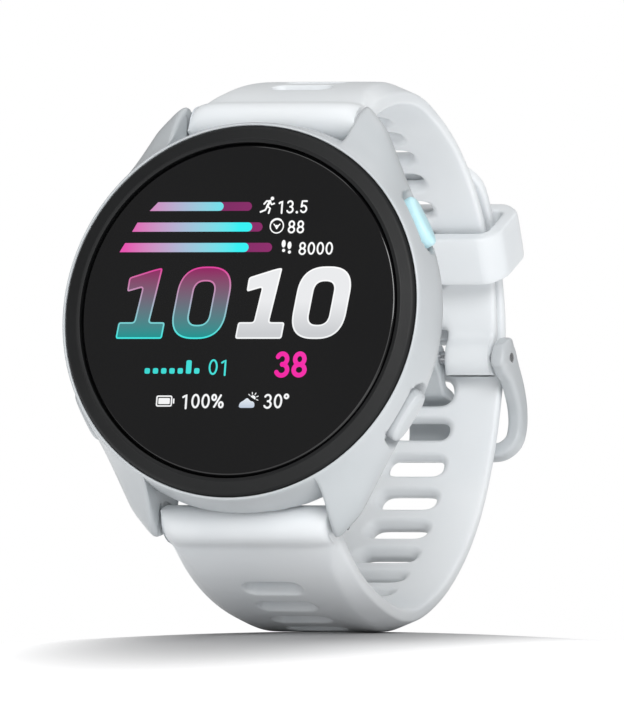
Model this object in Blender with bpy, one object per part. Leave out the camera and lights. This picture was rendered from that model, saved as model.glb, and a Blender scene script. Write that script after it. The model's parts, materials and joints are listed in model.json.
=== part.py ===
"""GPS running watch standing on its buckled silicone strap.

Every piece is modelled in the case's own axes: x to the watch's right, y back from the bezel's front
face towards the wrist, z up the dial to 12 o'clock. One empty tilts and lifts all of them.
Lengths are in millimetres here and are turned to metres as each mesh is made.
"""

import math

import bmesh
import bpy
import numpy as np
from mathutils import Matrix, Vector

MM = 0.001

# The watch on the floor
FACE_TILT = math.radians(10.63)  # the dial leans back from upright
FACE_Y = -28.05  # bezel's front centre, so that the whole watch is centred on the origin
FACE_HEIGHT = 35.63

# Case
CASE_RADIUS = 21.75
CAVITY_RADIUS = 18.6
BEZEL_RADIUS = 21.0
BEZEL_INNER_RADIUS = 18.9
BEZEL_DEPTH = 2.3
CASE_FRONT = 2.4
CASE_BACK = 9.6
GLASS_RADIUS = 18.6
LUG_GAP_HALF = 10.4

SCREW_CIRCLE = 15.4  # radius of the rear screws' circle

# Strap
BAR_DEPTH = 8.0  # spring bar's place behind the bezel's face
BAR_HEIGHT = 22.6  # and above or below the dial's centre
BAR_RADIUS = 0.75
BARREL_RADIUS = 2.25
STRAP_HALF_AT_LUG = 10.1
STRAP_HALF_AT_BACK = 9.1
STRAP_THICK_AT_LUG = 2.7
STRAP_THICK_AT_BACK = 2.1
SLOT_LENGTH = 6.8  # across the strap
SLOT_WIDTH = 2.4
UPPER_SLOT_PITCH = 4.3
UPPER_FIRST_SLOT = 7.7  # along the strap from the spring bar
UPPER_SLOTS = 11
LOWER_SLOT_PITCH = 4.49
SLOTS_BEFORE_TONGUE = 13
SLOTS_AFTER_TONGUE = 5
TONGUE_CROSSING = 1.2  # height at which the tongue passes through the lower half

# Buckle
PIN_DEPTH = 53.3
PIN_HEIGHT = 4.6
PIN_RADIUS = 0.75
FOLD_RADIUS = 2.2
ARM_INNER = 9.5
ARM_OUTER = 11.3
TONGUE_WIDTH = 5.6

# Buttons
BUTTON_ANGLES = {
    "start_button": 30,
    "lap_button": -30,
    "light_button": 150,
    "up_button": 180,
    "down_button": 210,
}
BUTTON_DEPTH = 5.2  # middle of the cap behind the bezel's face
BUTTON_LENGTH = 6.8
BUTTON_HEIGHT = 2.8
BUTTON_REACH = 22.4
BUTTON_SEAT = 20.65  # radius of the cap's back face
PLUNGER_RADIUS = 0.8
PLUNGER_END = 17.9

ROUND = 40  # sides of a large turned piece


def clear_scene():
    for item in list(bpy.data.objects):
        bpy.data.objects.remove(item, do_unlink=True)


clear_scene()

watch = bpy.data.objects.new("watch_axes", None)
bpy.context.collection.objects.link(watch)
watch.rotation_euler = (-FACE_TILT, 0, 0)
watch.location = (0, FACE_Y * MM, FACE_HEIGHT * MM)


def make_material(name, colour, roughness, metallic=0.0):
    material = bpy.data.materials.new(name)
    material.use_nodes = True
    shader = material.node_tree.nodes["Principled BSDF"]
    shader.inputs["Base Color"].default_value = (*colour, 1)
    shader.inputs["Roughness"].default_value = roughness
    shader.inputs["Metallic"].default_value = metallic
    return material


def link_mesh(name, bm, material=None):
    """Turn a bmesh in millimetres into a named object under the watch's axes."""
    bmesh.ops.recalc_face_normals(bm, faces=bm.faces)
    bmesh.ops.scale(bm, vec=(MM, MM, MM), verts=bm.verts)
    mesh = bpy.data.meshes.new(name)
    bm.to_mesh(mesh)
    bm.free()
    mesh.shade_smooth()
    mesh.set_sharp_from_angle(angle=math.radians(30))
    item = bpy.data.objects.new(name, mesh)
    bpy.context.collection.objects.link(item)
    item.parent = watch
    if material:
        mesh.materials.append(material)
    return item


def as_helper(item):
    item.hide_render = True
    item.display_type = "WIRE"
    return item


def set_origin(item, x, depth, height):
    """Put an object's origin on its joint's axis and leave its shape where it is."""
    place = Vector((x, depth, height)) * MM
    item.data.transform(Matrix.Translation(-place))
    item.location = place
    return item


def combine(item, other, operation):
    modifier = item.modifiers.new(f"{operation.lower()}_{other.name}", "BOOLEAN")
    modifier.operation = operation
    modifier.object = other
    modifier.solver = "EXACT"
    return item


def cut(item, *cutters):
    for cutter in cutters:
        combine(item, as_helper(cutter), "DIFFERENCE")
    return item


def fuse(item, *others):
    for other in others:
        combine(item, as_helper(other), "UNION")
    return item


def turned(name, profile, material=None, axis="Y", centre=(0, 0, 0), sides=ROUND):
    """Spin a closed outline of (radius, distance along the axis) points. A radius of 0 lies on the axis."""
    bm = bmesh.new()
    along, out = {"Y": ((0, 1, 0), (1, 0, 0)), "X": ((1, 0, 0), (0, 1, 0))}[axis]
    along, out = Vector(along), Vector(out)
    points = [bm.verts.new(out * radius + along * height) for radius, height in profile]
    edges = []
    for first, second in zip(points, points[1:] + points[:1]):
        if (first.co - second.co).cross(along).length < 1e-9 and first.co.cross(along).length < 1e-9:
            continue
        edges.append(bm.edges.new((first, second)))
    bmesh.ops.spin(
        bm, geom=points + edges, axis=along, cent=(0, 0, 0), angle=2 * math.pi, steps=sides, use_merge=True
    )
    bmesh.ops.remove_doubles(bm, verts=bm.verts, dist=1e-5)
    bmesh.ops.translate(bm, vec=centre, verts=bm.verts)
    return link_mesh(name, bm, material)


def ring_outline(inner, outer, front, back):
    return [(inner, front), (outer, front), (outer, back), (inner, back)]


def disc_outline(radius, front, back):
    return [(0, front), (radius, front), (radius, back), (0, back)]


def prism(name, outline, direction, start, end, material=None):
    """Extrude an outline. Along "y" it is in (x, z), along "x" in (depth, height)."""
    bm = bmesh.new()
    if direction == "y":
        corners = [Vector((a, start, b)) for a, b in outline]
        step = Vector((0, end - start, 0))
    else:
        corners = [Vector((start, a, b)) for a, b in outline]
        step = Vector((end - start, 0, 0))
    face = bm.faces.new([bm.verts.new(corner) for corner in corners])
    grown = bmesh.ops.extrude_face_region(bm, geom=[face])
    moved = [part for part in grown["geom"] if isinstance(part, bmesh.types.BMVert)]
    bmesh.ops.translate(bm, vec=step, verts=moved)
    return link_mesh(name, bm, material)


def round_ended(length, width, steps=6):
    """Outline of a slot: two half circles joined by straight sides, long along the first axis."""
    radius = width / 2
    reach = length / 2 - radius
    turn = np.linspace(-1, 1, steps) * math.pi / 2
    right = [(reach + radius * math.cos(a), radius * math.sin(a)) for a in turn]
    left = [(-a, -b) for a, b in right]
    return right + left


# The strap halves' middle line and section


def smooth_line(controls, count, tip=0):
    """Natural cubic spline through (depth, height) points, read at evenly spaced lengths along it.

    A tip is a last stretch read closer and closer together, for a rounded end.
    """
    controls = np.array(controls, float)
    knots = np.concatenate([[0], np.cumsum(np.linalg.norm(np.diff(controls, axis=0), axis=1))])
    gaps = np.diff(knots)
    size = len(controls)
    system, right = np.eye(size), np.zeros((size, 2))
    for i in range(1, size - 1):
        system[i, i - 1 : i + 2] = gaps[i - 1], 2 * (gaps[i - 1] + gaps[i]), gaps[i]
        slopes = (controls[i + 1] - controls[i]) / gaps[i] - (controls[i] - controls[i - 1]) / gaps[i - 1]
        right[i] = 6 * slopes
    bend = np.linalg.solve(system, right)

    def read(at):
        i = np.clip(np.searchsorted(knots, at) - 1, 0, size - 2)
        h = gaps[i][:, None]
        before, after = (at - knots[i])[:, None], (knots[i + 1] - at)[:, None]
        return (
            bend[i] * after**3 / (6 * h)
            + bend[i + 1] * before**3 / (6 * h)
            + (controls[i] / h - bend[i] * h / 6) * after
            + (controls[i + 1] / h - bend[i + 1] * h / 6) * before
        )

    fine = read(np.linspace(0, knots[-1], 40 * size))
    lengths = np.concatenate([[0], np.cumsum(np.linalg.norm(np.diff(fine, axis=0), axis=1))])
    even = np.linspace(0, lengths[-1] - tip, count)
    if tip:
        even = np.append(even, lengths[-1] - tip * (1 - np.sin(np.radians([30, 52, 70, 82, 90]))))
    return np.column_stack([np.interp(even, lengths, fine[:, k]) for k in (0, 1)]), even


def outward(line, away_from=(28, 0)):
    """Unit normals of a (depth, height) line, pointing away from the wrist."""
    along = np.gradient(line, axis=0)
    normal = np.column_stack([along[:, 1], -along[:, 0]])
    normal /= np.linalg.norm(normal, axis=1)[:, None]
    side = np.sign(((line - np.array(away_from)) * normal).sum(axis=1))
    return normal * side[:, None]


LOWER_LINE = [
    (8.0, -22.6), (11.6, -25.0), (16.2, -27.1), (21.3, -28.4), (26.3, -29.0), (31.3, -29.0), (36.0, -28.0),
    (40.6, -25.9), (44.6, -23.4), (48.2, -20.2), (51.2, -16.6), (53.6, -12.4), (55.3, -7.8), (56.4, -3.0),
    (56.9, 2.0), (57.0, 5.5), (56.5, 9.0), (55.2, 12.6), (52.5, 17.5), (48.8, 22.0), (44.0, 25.8),
]
UPPER_LINE = [
    (8.0, 22.6), (12.2, 25.4), (17.5, 27.5), (22.5, 28.6), (27.5, 28.8), (32.0, 28.1), (36.2, 26.9),
    (39.9, 25.3), (43.5, 23.1), (47.0, 20.2), (50.4, 16.2), (53.0, 11.8), (54.1, 8.2), (54.3, 4.9),
]
STATIONS = 40


def strap_width(share):
    return np.interp(share, [0, 0.42, 1], [STRAP_HALF_AT_LUG, STRAP_HALF_AT_BACK, STRAP_HALF_AT_BACK])


def strap_thickness(share):
    thickness = [STRAP_THICK_AT_LUG, 2.6, STRAP_THICK_AT_BACK, STRAP_THICK_AT_BACK]
    return np.interp(share, [0, 0.25, 0.6, 1], thickness)


def strap_body(name, line_points, material, tip_length):
    """Sweep the strap's section: flat inside, low side walls, and side bevels up to a flat outer band."""
    line, lengths = smooth_line(line_points, STATIONS, tip_length)
    out = outward(line)
    total = lengths[-1]
    bm = bmesh.new()
    rings = []
    for point, normal, length in zip(line, out, lengths):
        share = length / total
        half, thick = float(strap_width(share)), float(strap_thickness(share))
        if tip_length:
            left = max(0.0, total - length)
            half *= 0.35 + 0.65 * math.sqrt(max(0.0, 1 - max(0.0, 1 - left / tip_length) ** 2))
        band = half * (0.86 - 0.22 * min(1.0, share * 2.5))
        side = 0.55 * thick
        section = [
            (-half, 0.3), (-half + 0.3, 0), (half - 0.3, 0), (half, 0.3),
            (half, side), (band, thick), (-band, thick),
            (-half, side),
        ]
        ring = []
        for x, rise in section:
            depth, height = point + normal * (rise - thick / 2)
            ring.append(bm.verts.new((x, depth, height)))
        rings.append(ring)
    for first, second in zip(rings, rings[1:]):
        for k in range(len(first)):
            after = (k + 1) % len(first)
            bm.faces.new((first[k], first[after], second[after], second[k]))
    bm.faces.new(rings[0])
    bm.faces.new(rings[-1])
    return link_mesh(name, bm, material), line, out, lengths


def slot_cutter(name, line, out, lengths, places):
    """One mesh of slot-shaped plugs that pass right through the strap at the given lengths along it."""
    bm = bmesh.new()
    outline = round_ended(SLOT_LENGTH, SLOT_WIDTH, steps=4)
    for place in places:
        centre = np.array([np.interp(place, lengths, line[:, k]) for k in (0, 1)])
        normal = np.array([np.interp(place, lengths, out[:, k]) for k in (0, 1)])
        normal /= np.linalg.norm(normal)
        along = np.array([-normal[1], normal[0]])
        corners = []
        for x, step in outline:
            depth, height = centre + along * step - normal * 3
            corners.append(bm.verts.new((x, depth, height)))
        face = bm.faces.new(corners)
        grown = bmesh.ops.extrude_face_region(bm, geom=[face])
        moved = [part for part in grown["geom"] if isinstance(part, bmesh.types.BMVert)]
        bmesh.ops.translate(bm, vec=(0, normal[0] * 6, normal[1] * 6), verts=moved)
    return link_mesh(name, bm)


def cylinder_across(name, radius, half, depth, height, material=None, sides=20):
    """A round bar across the watch, along x."""
    return turned(name, disc_outline(radius, -half, half), material, "X", (0, depth, height), sides)


# Materials

white_case = make_material("white_moulded_polymer", (0.80, 0.82, 0.84), 0.42)
white_silicone = make_material("white_silicone", (0.80, 0.82, 0.83), 0.5)
pale_blue = make_material("pale_blue_polymer", (0.48, 0.76, 0.82), 0.35)
black_bezel = make_material("charcoal_polymer", (0.03, 0.03, 0.032), 0.45)
black_glass = make_material("cover_glass", (0.01, 0.01, 0.012), 0.06)
dark_panel = make_material("display_glass", (0.008, 0.008, 0.01), 0.2)
dark_rubber = make_material("black_rubber", (0.02, 0.02, 0.02), 0.7)
green_board = make_material("board_laminate", (0.02, 0.12, 0.06), 0.5)
tin_shield = make_material("tinned_steel", (0.6, 0.6, 0.6), 0.35, 1.0)
steel = make_material("stainless_steel", (0.62, 0.62, 0.63), 0.28, 1.0)
gold = make_material("gold_plating", (0.83, 0.62, 0.3), 0.25, 1.0)
foil = make_material("pouch_cell_foil", (0.5, 0.5, 0.52), 0.4, 1.0)
dark_window = make_material("sensor_glass", (0.012, 0.012, 0.014), 0.08)

# Case


def lug_helper(name, side, end):
    """One lug: its outline seen from the front, kept only inside its outline seen from the side."""
    front = [
        (10.4, 9.0), (10.4, 23.9), (10.9, 24.5), (11.6, 24.1),
        (12.9, 22.1), (14.6, 18.8), (16.2, 15.6), (19.0, 9.0),
    ]
    seen_from_side = [
        (2.8, 9.0), (2.8, 20.4), (4.4, 23.0), (6.2, 24.6), (8.8, 24.6), (9.6, 23.4), (9.6, 9.0),
    ]
    lug = prism(name, [(side * x, end * z) for x, z in front], "y", 0, 14)
    profile = prism(f"{name}_profile", [(d, end * z) for d, z in seen_from_side], "x", -30, 30)
    return combine(lug, as_helper(profile), "INTERSECT")


def on_radius(item, angle):
    """Turn a piece made along +x round the dial to its clock position."""
    item.rotation_euler = (0, -math.radians(angle), 0)
    return item


def button_blank(name, length, height, start, end, material=None):
    """Round-ended block across the case's side, from one radius to another along +x."""
    outline = [(BUTTON_DEPTH + b, a) for a, b in round_ended(length, height)]
    return prism(name, outline, "x", start, end, material)


case_profile = [
    (0, CASE_FRONT), (21.35, CASE_FRONT), (21.6, 3.2), (CASE_RADIUS, 5.2), (21.35, 7.4), (20.5, 9.0),
    (20.0, CASE_BACK), (0, CASE_BACK),
]
cavity_profile = [
    (0, 1.0), (17.9, 1.0), (17.9, 3.1), (CAVITY_RADIUS, 3.1),
    (CAVITY_RADIUS, 8.6), (19.2, 8.6), (19.2, 12), (0, 12),
]
case_body = turned("case_body", case_profile, white_case, sides=56)
for side, side_name in ((1, "right"), (-1, "left")):
    for end, end_name in ((1, "top"), (-1, "bottom")):
        fuse(case_body, lug_helper(f"lug_{end_name}_{side_name}", side, end))
cut(case_body, turned("case_cavity", cavity_profile, sides=56))
for number in range(4):
    angle = math.radians(45 + 90 * number)
    boss_at = (16.3 * math.cos(angle), 0, 16.3 * math.sin(angle))
    hole_at = (SCREW_CIRCLE * math.cos(angle), 0, SCREW_CIRCLE * math.sin(angle))
    boss = turned(f"screw_boss_{number + 1}", disc_outline(2.7, 6.6, 8.5), centre=boss_at, sides=20)
    fuse(case_body, boss)
    cut(case_body, turned(f"boss_hole_{number + 1}", disc_outline(0.75, 7.1, 9), centre=hole_at, sides=12))
for end, end_name in ((1, "top"), (-1, "bottom")):
    height = end * BAR_HEIGHT
    room_half = LUG_GAP_HALF - 0.02
    barrel_room = cylinder_across(f"barrel_room_{end_name}", 2.6, room_half, BAR_DEPTH, height, sides=24)
    cut(case_body, barrel_room)
    cut(case_body, cylinder_across(f"bar_holes_{end_name}", 0.72, 11.9, BAR_DEPTH, height, sides=16))
for name, angle in BUTTON_ANGLES.items():
    pocket = button_blank(f"{name}_pocket", BUTTON_LENGTH + 0.7, BUTTON_HEIGHT + 0.7, 20.0, 26)
    plunger_hole = turned(
        f"{name}_hole", disc_outline(1.45, 17, 20.5), axis="X", centre=(0, BUTTON_DEPTH, 0), sides=16
    )
    cut(case_body, on_radius(pocket, angle), on_radius(plunger_hole, angle))

bezel_profile = [
    (BEZEL_INNER_RADIUS, 0.05), (19.3, 0.0), (20.75, 0.55), (BEZEL_RADIUS, 0.95),
    (BEZEL_RADIUS, BEZEL_DEPTH),
    (17.6, BEZEL_DEPTH), (17.6, 1.75), (BEZEL_INNER_RADIUS, 1.75),
]
turned("bezel", bezel_profile, black_bezel, sides=64)
lens_outline = [(0, 0.2), (18.3, 0.2), (GLASS_RADIUS, 0.45), (GLASS_RADIUS, 1.3), (0, 1.3)]
turned("lens", lens_outline, black_glass, sides=56)
turned("lens_seal", ring_outline(17.75, 18.5, 1.4, 1.65), dark_rubber)
turned("display_panel", disc_outline(17.3, 1.45, 2.2), dark_panel)
turned(
    "display_bracket",
    [(15.6, 2.6), (17.6, 2.6), (17.6, 3.3), (18.2, 3.3), (18.2, 3.8), (15.6, 3.8)],
    tin_shield,
)

# Electronics


def block(name, x, z, width, length, front, back, material):
    outline = [(x - width / 2, z - length / 2), (x + width / 2, z - length / 2)]
    outline += [(x + width / 2, z + length / 2), (x - width / 2, z + length / 2)]
    return prism(name, outline, "y", front, back, material)


turned("main_board", disc_outline(16.6, 4.0, 4.7), green_board, sides=32)
block("shield_can", 3.0, 9.0, 12, 7, 4.8, 6.1, tin_shield)
block("battery", -1.5, -2.0, 19, 13, 4.9, 8.2, foil)
turned("vibration_motor", disc_outline(2.9, 4.9, 7.6), steel, centre=(12.6, 0, -5.2), sides=20)
turned("buzzer", disc_outline(3.6, 7.9, 8.3), gold, centre=(0, 0, 9.6), sides=20)
antenna_arc = [(17.5, 4.9), (18.1, 4.9), (18.1, 6.4), (17.5, 6.4)]
gps_antenna = turned("gps_antenna", antenna_arc, gold, sides=40)
cut(gps_antenna, block("antenna_gap", 0, -12, 40, 46, 3, 9, None))
turned("sensor_board", disc_outline(6.2, 8.45, 8.9), green_board, centre=(0, 0, 0), sides=24)

# Back of the case

rear_profile = [
    (8.0, 9.05), (18.9, 9.05), (18.9, 9.7), (16.5, 10.3), (9.6, 10.6), (9.6, 10.0), (8.0, 10.0),
]
rear_cover = turned("rear_cover", rear_profile, white_case, sides=48)
turned("rear_cover_seal", ring_outline(17.6, 18.4, 8.7, 8.95), dark_rubber, sides=40)
turned(
    "sensor_window",
    [(0, 9.1), (7.7, 9.1), (7.7, 10.15), (9.3, 10.15), (9.3, 10.9), (7.4, 11.6), (0, 11.6)],
    dark_window,
    sides=32,
)
for number in range(4):
    angle = math.radians(45 + 90 * number)
    x, z = SCREW_CIRCLE * math.cos(angle), SCREW_CIRCLE * math.sin(angle)
    screw_hole = turned(f"screw_hole_{number + 1}", disc_outline(1.0, 8, 12), centre=(x, 0, z), sides=16)
    cut(rear_cover, screw_hole)
    turned(
        f"rear_screw_{number + 1}",
        [(0, 7.4), (0.6, 7.4), (0.6, 9.3), (0.85, 9.4), (0.85, 10.1), (0, 10.1)],
        steel,
        centre=(x, 0, z),
        sides=12,
    )
    contact_x = 2.4 * (number - 1.5)
    place = (contact_x, 0, -13)
    cut(rear_cover, turned(f"contact_hole_{number + 1}", disc_outline(0.85, 8, 12), centre=place, sides=14))
    turned(f"charge_contact_{number + 1}", disc_outline(0.65, 8.5, 10.35), gold, centre=place, sides=12)

# Buttons

for name, angle in BUTTON_ANGLES.items():
    colour = pale_blue if name == "start_button" else white_case
    cap = button_blank(name, BUTTON_LENGTH, BUTTON_HEIGHT, BUTTON_SEAT, BUTTON_REACH, colour)
    plunger = turned(
        f"{name}_plunger", disc_outline(PLUNGER_RADIUS, PLUNGER_END, BUTTON_SEAT + 0.5), axis="X",
        centre=(0, BUTTON_DEPTH, 0), sides=12,
    )
    on_radius(fuse(cap, on_radius(plunger, angle)), angle)
    bevel = cap.modifiers.new("outer_edge", "BEVEL")
    bevel.width = 0.35 * MM
    bevel.limit_method = "ANGLE"
    bevel.angle_limit = math.radians(60)
    seal = turned(
        f"{name}_seal", ring_outline(0.95, 1.3, 19.0, 19.6), dark_rubber, "X", (0, BUTTON_DEPTH, 0), 12
    )
    on_radius(seal, angle)
    switch = prism(
        f"{name}_switch", [(BUTTON_DEPTH - 0.25, -1.5), (BUTTON_DEPTH + 1.2, -1.5), (BUTTON_DEPTH + 1.2, 1.5),
                           (BUTTON_DEPTH - 0.25, 1.5)], "x", 16.75, 17.3, steel
    )
    on_radius(switch, angle)

# Strap halves and spring bars


def strap_half(name, line_points, end, tip_length):
    strap, line, out, lengths = strap_body(name, line_points, white_silicone, tip_length)
    barrel = cylinder_across(
        f"{name}_barrel", BARREL_RADIUS, STRAP_HALF_AT_LUG + 0.05, BAR_DEPTH, end * BAR_HEIGHT, sides=24
    )
    fuse(strap, barrel)
    if end > 0:
        places = UPPER_FIRST_SLOT + UPPER_SLOT_PITCH * np.arange(UPPER_SLOTS)
    else:
        behind = line[:, 0] > 50
        crossing = np.interp(TONGUE_CROSSING, line[behind, 1], lengths[behind])
        places = crossing + LOWER_SLOT_PITCH * np.arange(-SLOTS_BEFORE_TONGUE, SLOTS_AFTER_TONGUE + 1)
    cut(strap, slot_cutter(f"{name}_slots", line, out, lengths, places))
    bore = cylinder_across(f"{name}_bore", 0.95, 12, BAR_DEPTH, end * BAR_HEIGHT, sides=16)
    window = prism(
        f"{name}_window",
        [(BAR_DEPTH, end * (BAR_HEIGHT - 0.9)), (BAR_DEPTH + 3, end * (BAR_HEIGHT - 3.2)),
         (BAR_DEPTH + 3.6, end * (BAR_HEIGHT - 1.6)), (BAR_DEPTH + 0.9, end * BAR_HEIGHT)],
        "x", -8.6, -5.2,
    )
    cut(strap, bore, window)
    return strap


def spring_bar(name, end):
    """Telescopic bar: a thick tube with a thin tip in each lug."""
    outline = [
        (0, -11.6), (0.5, -11.6), (0.5, -10.1), (BAR_RADIUS, -10.1),
        (BAR_RADIUS, 10.1), (0.5, 10.1), (0.5, 11.6), (0, 11.6),
    ]
    bar = turned(name, outline, steel, "X", (0, BAR_DEPTH, end * BAR_HEIGHT), 14)
    return set_origin(bar, 0, BAR_DEPTH, end * BAR_HEIGHT)


def release_pin(name, end):
    """Small knob that draws the bar's tip in, reached from the wrist side of the strap."""
    knob = turned(name, disc_outline(0.55, 1.0, 2.7), steel, "Y", sides=12)
    knob.rotation_euler = (-end * math.radians(42), 0, 0)
    knob.location = Vector((-7.7, BAR_DEPTH, end * BAR_HEIGHT)) * MM
    return knob


strap_upper = strap_half("strap_upper", UPPER_LINE, 1, 0)
strap_lower = strap_half("strap_lower", LOWER_LINE, -1, 5.0)
for end, end_name in ((1, "upper"), (-1, "lower")):
    spring_bar(f"spring_bar_{end_name}", end)
    release_pin(f"release_pin_{end_name}", end)

# Buckle

fold = cylinder_across("buckle_fold", FOLD_RADIUS, STRAP_HALF_AT_BACK + 0.05, PIN_DEPTH, PIN_HEIGHT, sides=24)
fold_bore = cylinder_across("buckle_fold_bore", 0.95, 12, PIN_DEPTH, PIN_HEIGHT, sides=16)
tongue_notch = prism(
    "tongue_notch", [(49, 1), (60, 1), (60, 7.65), (49, 7.35)], "x",
    -TONGUE_WIDTH / 2 - 0.4, TONGUE_WIDTH / 2 + 0.4,
)
fuse(strap_upper, fold)
cut(strap_upper, tongue_notch, fold_bore)

arm_line = [
    (50.95, 4.9), (51.3, 6.1), (52.4, 6.8), (53.6, 6.8), (57.4, 3.9), (59.5, 0.8),
    (60.0, -1.2), (59.6, -3.6), (58.7, -6.2), (57.4, -6.2), (57.8, -2.4), (57.6, -0.6),
    (56.5, 1.0), (54.4, 2.2), (52.3, 2.7), (51.2, 3.7),
]
buckle_frame = prism("buckle_frame", arm_line, "x", -ARM_OUTER, ARM_OUTER, white_case)
frame_front = [(ARM_OUTER, 9), (ARM_OUTER, -2.6), (10.9, -4.2), (10.0, -5.3), (8.4, -6.0)]
combine(
    buckle_frame,
    as_helper(prism("frame_corners", frame_front + [(-x, z) for x, z in reversed(frame_front)], "y", 45, 65)),
    "INTERSECT",
)
cut(
    buckle_frame,
    prism("frame_opening", [(48, -4.3), (62, -4.3), (62, 9), (48, 9)], "x", -ARM_INNER, ARM_INNER),
    prism(
        "tongue_rest", [(58.9, -7), (62, -7), (62, -4), (58.6, -4)], "x",
        -TONGUE_WIDTH / 2 - 0.4, TONGUE_WIDTH / 2 + 0.4,
    ),
    cylinder_across("frame_bore", 0.87, 12, PIN_DEPTH, PIN_HEIGHT, sides=20),
)
buckle_pin = cylinder_across("buckle_pin", PIN_RADIUS, 11.1, PIN_DEPTH, PIN_HEIGHT, steel, sides=16)

tongue_side = [
    (51.8, 5.4), (52.6, 6.2), (54.0, 6.2), (54.9, 5.2), (54.9, 3.6), (55.6, 2.0), (58.2, 1.6), (59.7, 0.2),
    (60.4, -2.8), (60.2, -5.8), (59.2, -5.8), (59.2, -3.2), (58.7, -0.7), (57.9, 0.4), (55.0, 0.7), (53.2, 2.8),
    (52.0, 3.4),
]
buckle_tongue = prism("buckle_tongue", tongue_side, "x", -TONGUE_WIDTH / 2, TONGUE_WIDTH / 2, white_case)
cut(buckle_tongue, cylinder_across("tongue_bore", 0.87, 12, PIN_DEPTH, PIN_HEIGHT, sides=20))

# Keeper


def keeper():
    """Silicone loop round both strap layers, as a band along the strap's slanting line."""
    lean = math.radians(34)  # strap's slope from upright at the keeper
    outer = [
        (-11.4, -3.0), (-9.8, -5.2), (9.8, -5.2), (11.4, -3.0),
        (11.4, 3.1), (9.2, 5.4), (-9.2, 5.4), (-11.4, 3.1),
    ]
    inner = [
        (-9.5, -2.2), (-8.9, -2.75), (8.9, -2.75), (9.5, -2.2),
        (9.5, 2.3), (8.6, 3.0), (-8.6, 3.0), (-9.5, 2.3),
    ]
    band = prism("keeper", [(a, b) for a, b in outer], "y", -2.8, 2.8, white_silicone)
    hollow = prism("keeper_hollow", [(a, b) for a, b in inner], "y", -4, 4)
    cut(band, hollow)
    for item in (band, hollow):
        item.rotation_euler = (math.radians(-90) + lean, 0, 0)
        item.location = Vector((0, 51.3, 17.1)) * MM
    return band


keeper()
for item, depth, height in (
    (strap_upper, BAR_DEPTH, BAR_HEIGHT),
    (strap_lower, BAR_DEPTH, -BAR_HEIGHT),
    (buckle_frame, PIN_DEPTH, PIN_HEIGHT),
    (buckle_pin, PIN_DEPTH, PIN_HEIGHT),
    (buckle_tongue, PIN_DEPTH, PIN_HEIGHT),
):
    set_origin(item, 0, depth, height)
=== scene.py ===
# GPS running watch standing on its buckled silicone strap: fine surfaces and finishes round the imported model.
# Places are millimetres in the case's own axes, written (across, depth, height): across the dial to the
# wearer's right hand side of it, back from the bezel's front towards the wrist, and up the dial to 12 o'clock.
import json
import math

import bmesh
import bpy
import numpy as np
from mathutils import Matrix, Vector


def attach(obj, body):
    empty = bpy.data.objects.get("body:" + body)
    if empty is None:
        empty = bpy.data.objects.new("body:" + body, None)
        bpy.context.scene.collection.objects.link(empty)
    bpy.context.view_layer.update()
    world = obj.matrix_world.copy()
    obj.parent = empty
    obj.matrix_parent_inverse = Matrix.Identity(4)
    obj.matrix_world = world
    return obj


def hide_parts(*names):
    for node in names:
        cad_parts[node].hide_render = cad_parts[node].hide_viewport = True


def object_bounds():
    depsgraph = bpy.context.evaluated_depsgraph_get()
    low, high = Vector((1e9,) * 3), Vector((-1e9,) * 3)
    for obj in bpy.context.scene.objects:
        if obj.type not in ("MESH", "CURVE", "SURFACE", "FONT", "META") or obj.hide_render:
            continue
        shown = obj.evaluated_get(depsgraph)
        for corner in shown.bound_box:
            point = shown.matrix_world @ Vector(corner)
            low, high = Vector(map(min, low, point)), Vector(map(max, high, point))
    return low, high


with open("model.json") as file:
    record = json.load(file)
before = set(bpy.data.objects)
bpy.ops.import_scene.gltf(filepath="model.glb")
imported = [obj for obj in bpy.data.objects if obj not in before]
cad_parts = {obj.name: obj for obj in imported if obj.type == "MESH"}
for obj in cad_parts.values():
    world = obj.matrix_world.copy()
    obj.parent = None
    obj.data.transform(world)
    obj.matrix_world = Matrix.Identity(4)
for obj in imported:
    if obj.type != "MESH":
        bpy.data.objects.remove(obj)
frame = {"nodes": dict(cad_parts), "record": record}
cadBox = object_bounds()
mm = 0.001
cadNodes = frame["nodes"]

# the case's axes, read from the record's mount on the glass
glassMount = next(mount for mount in frame["record"]["mounts"] if mount["name"] == "glass_face")
glassMountPlace = np.array([3.0, 0.2, 2.0])
depthWay = -np.array(glassMount["axis"])
acrossWay = np.array([1.0, 0.0, 0.0])
heightWay = np.cross(acrossWay, depthWay)
caseAxes = np.stack([acrossWay, depthWay, heightWay])
faceCentre = np.array(glassMount["pos_m"]) - glassMountPlace @ caseAxes * mm


def toWorld(points):
    # a place in the case's axes becomes the face's centre plus its three distances along the three axes
    return faceCentre + np.asarray(points, float) @ caseAxes * mm


# materials


def linear(hexColour):
    # sRGB to linear: the low end is a straight line, the rest a power of 2.4
    channels = np.array([int(hexColour[i:i + 2], 16) / 255 for i in (1, 3, 5)])
    low, high = channels / 12.92, ((channels + 0.055) / 1.055) ** 2.4
    return (*np.where(channels <= 0.04045, low, high), 1.0)


def addNode(tree, kind, inputs=None, **settings):
    # one node, its settings, and its inputs: a value is set and a socket is linked
    node = tree.nodes.new(kind)
    for name, value in settings.items():
        setattr(node, name, value)
    for name, value in (inputs or {}).items():
        if isinstance(value, bpy.types.NodeSocket):
            tree.links.new(value, node.inputs[name])
        else:
            node.inputs[name].default_value = value
    return node


def newMaterial(name):
    # a material, its node tree and its main shader
    material = bpy.data.materials.new(name)
    material.use_nodes = True
    tree = material.node_tree
    return material, tree, tree.nodes["Principled BSDF"]


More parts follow.
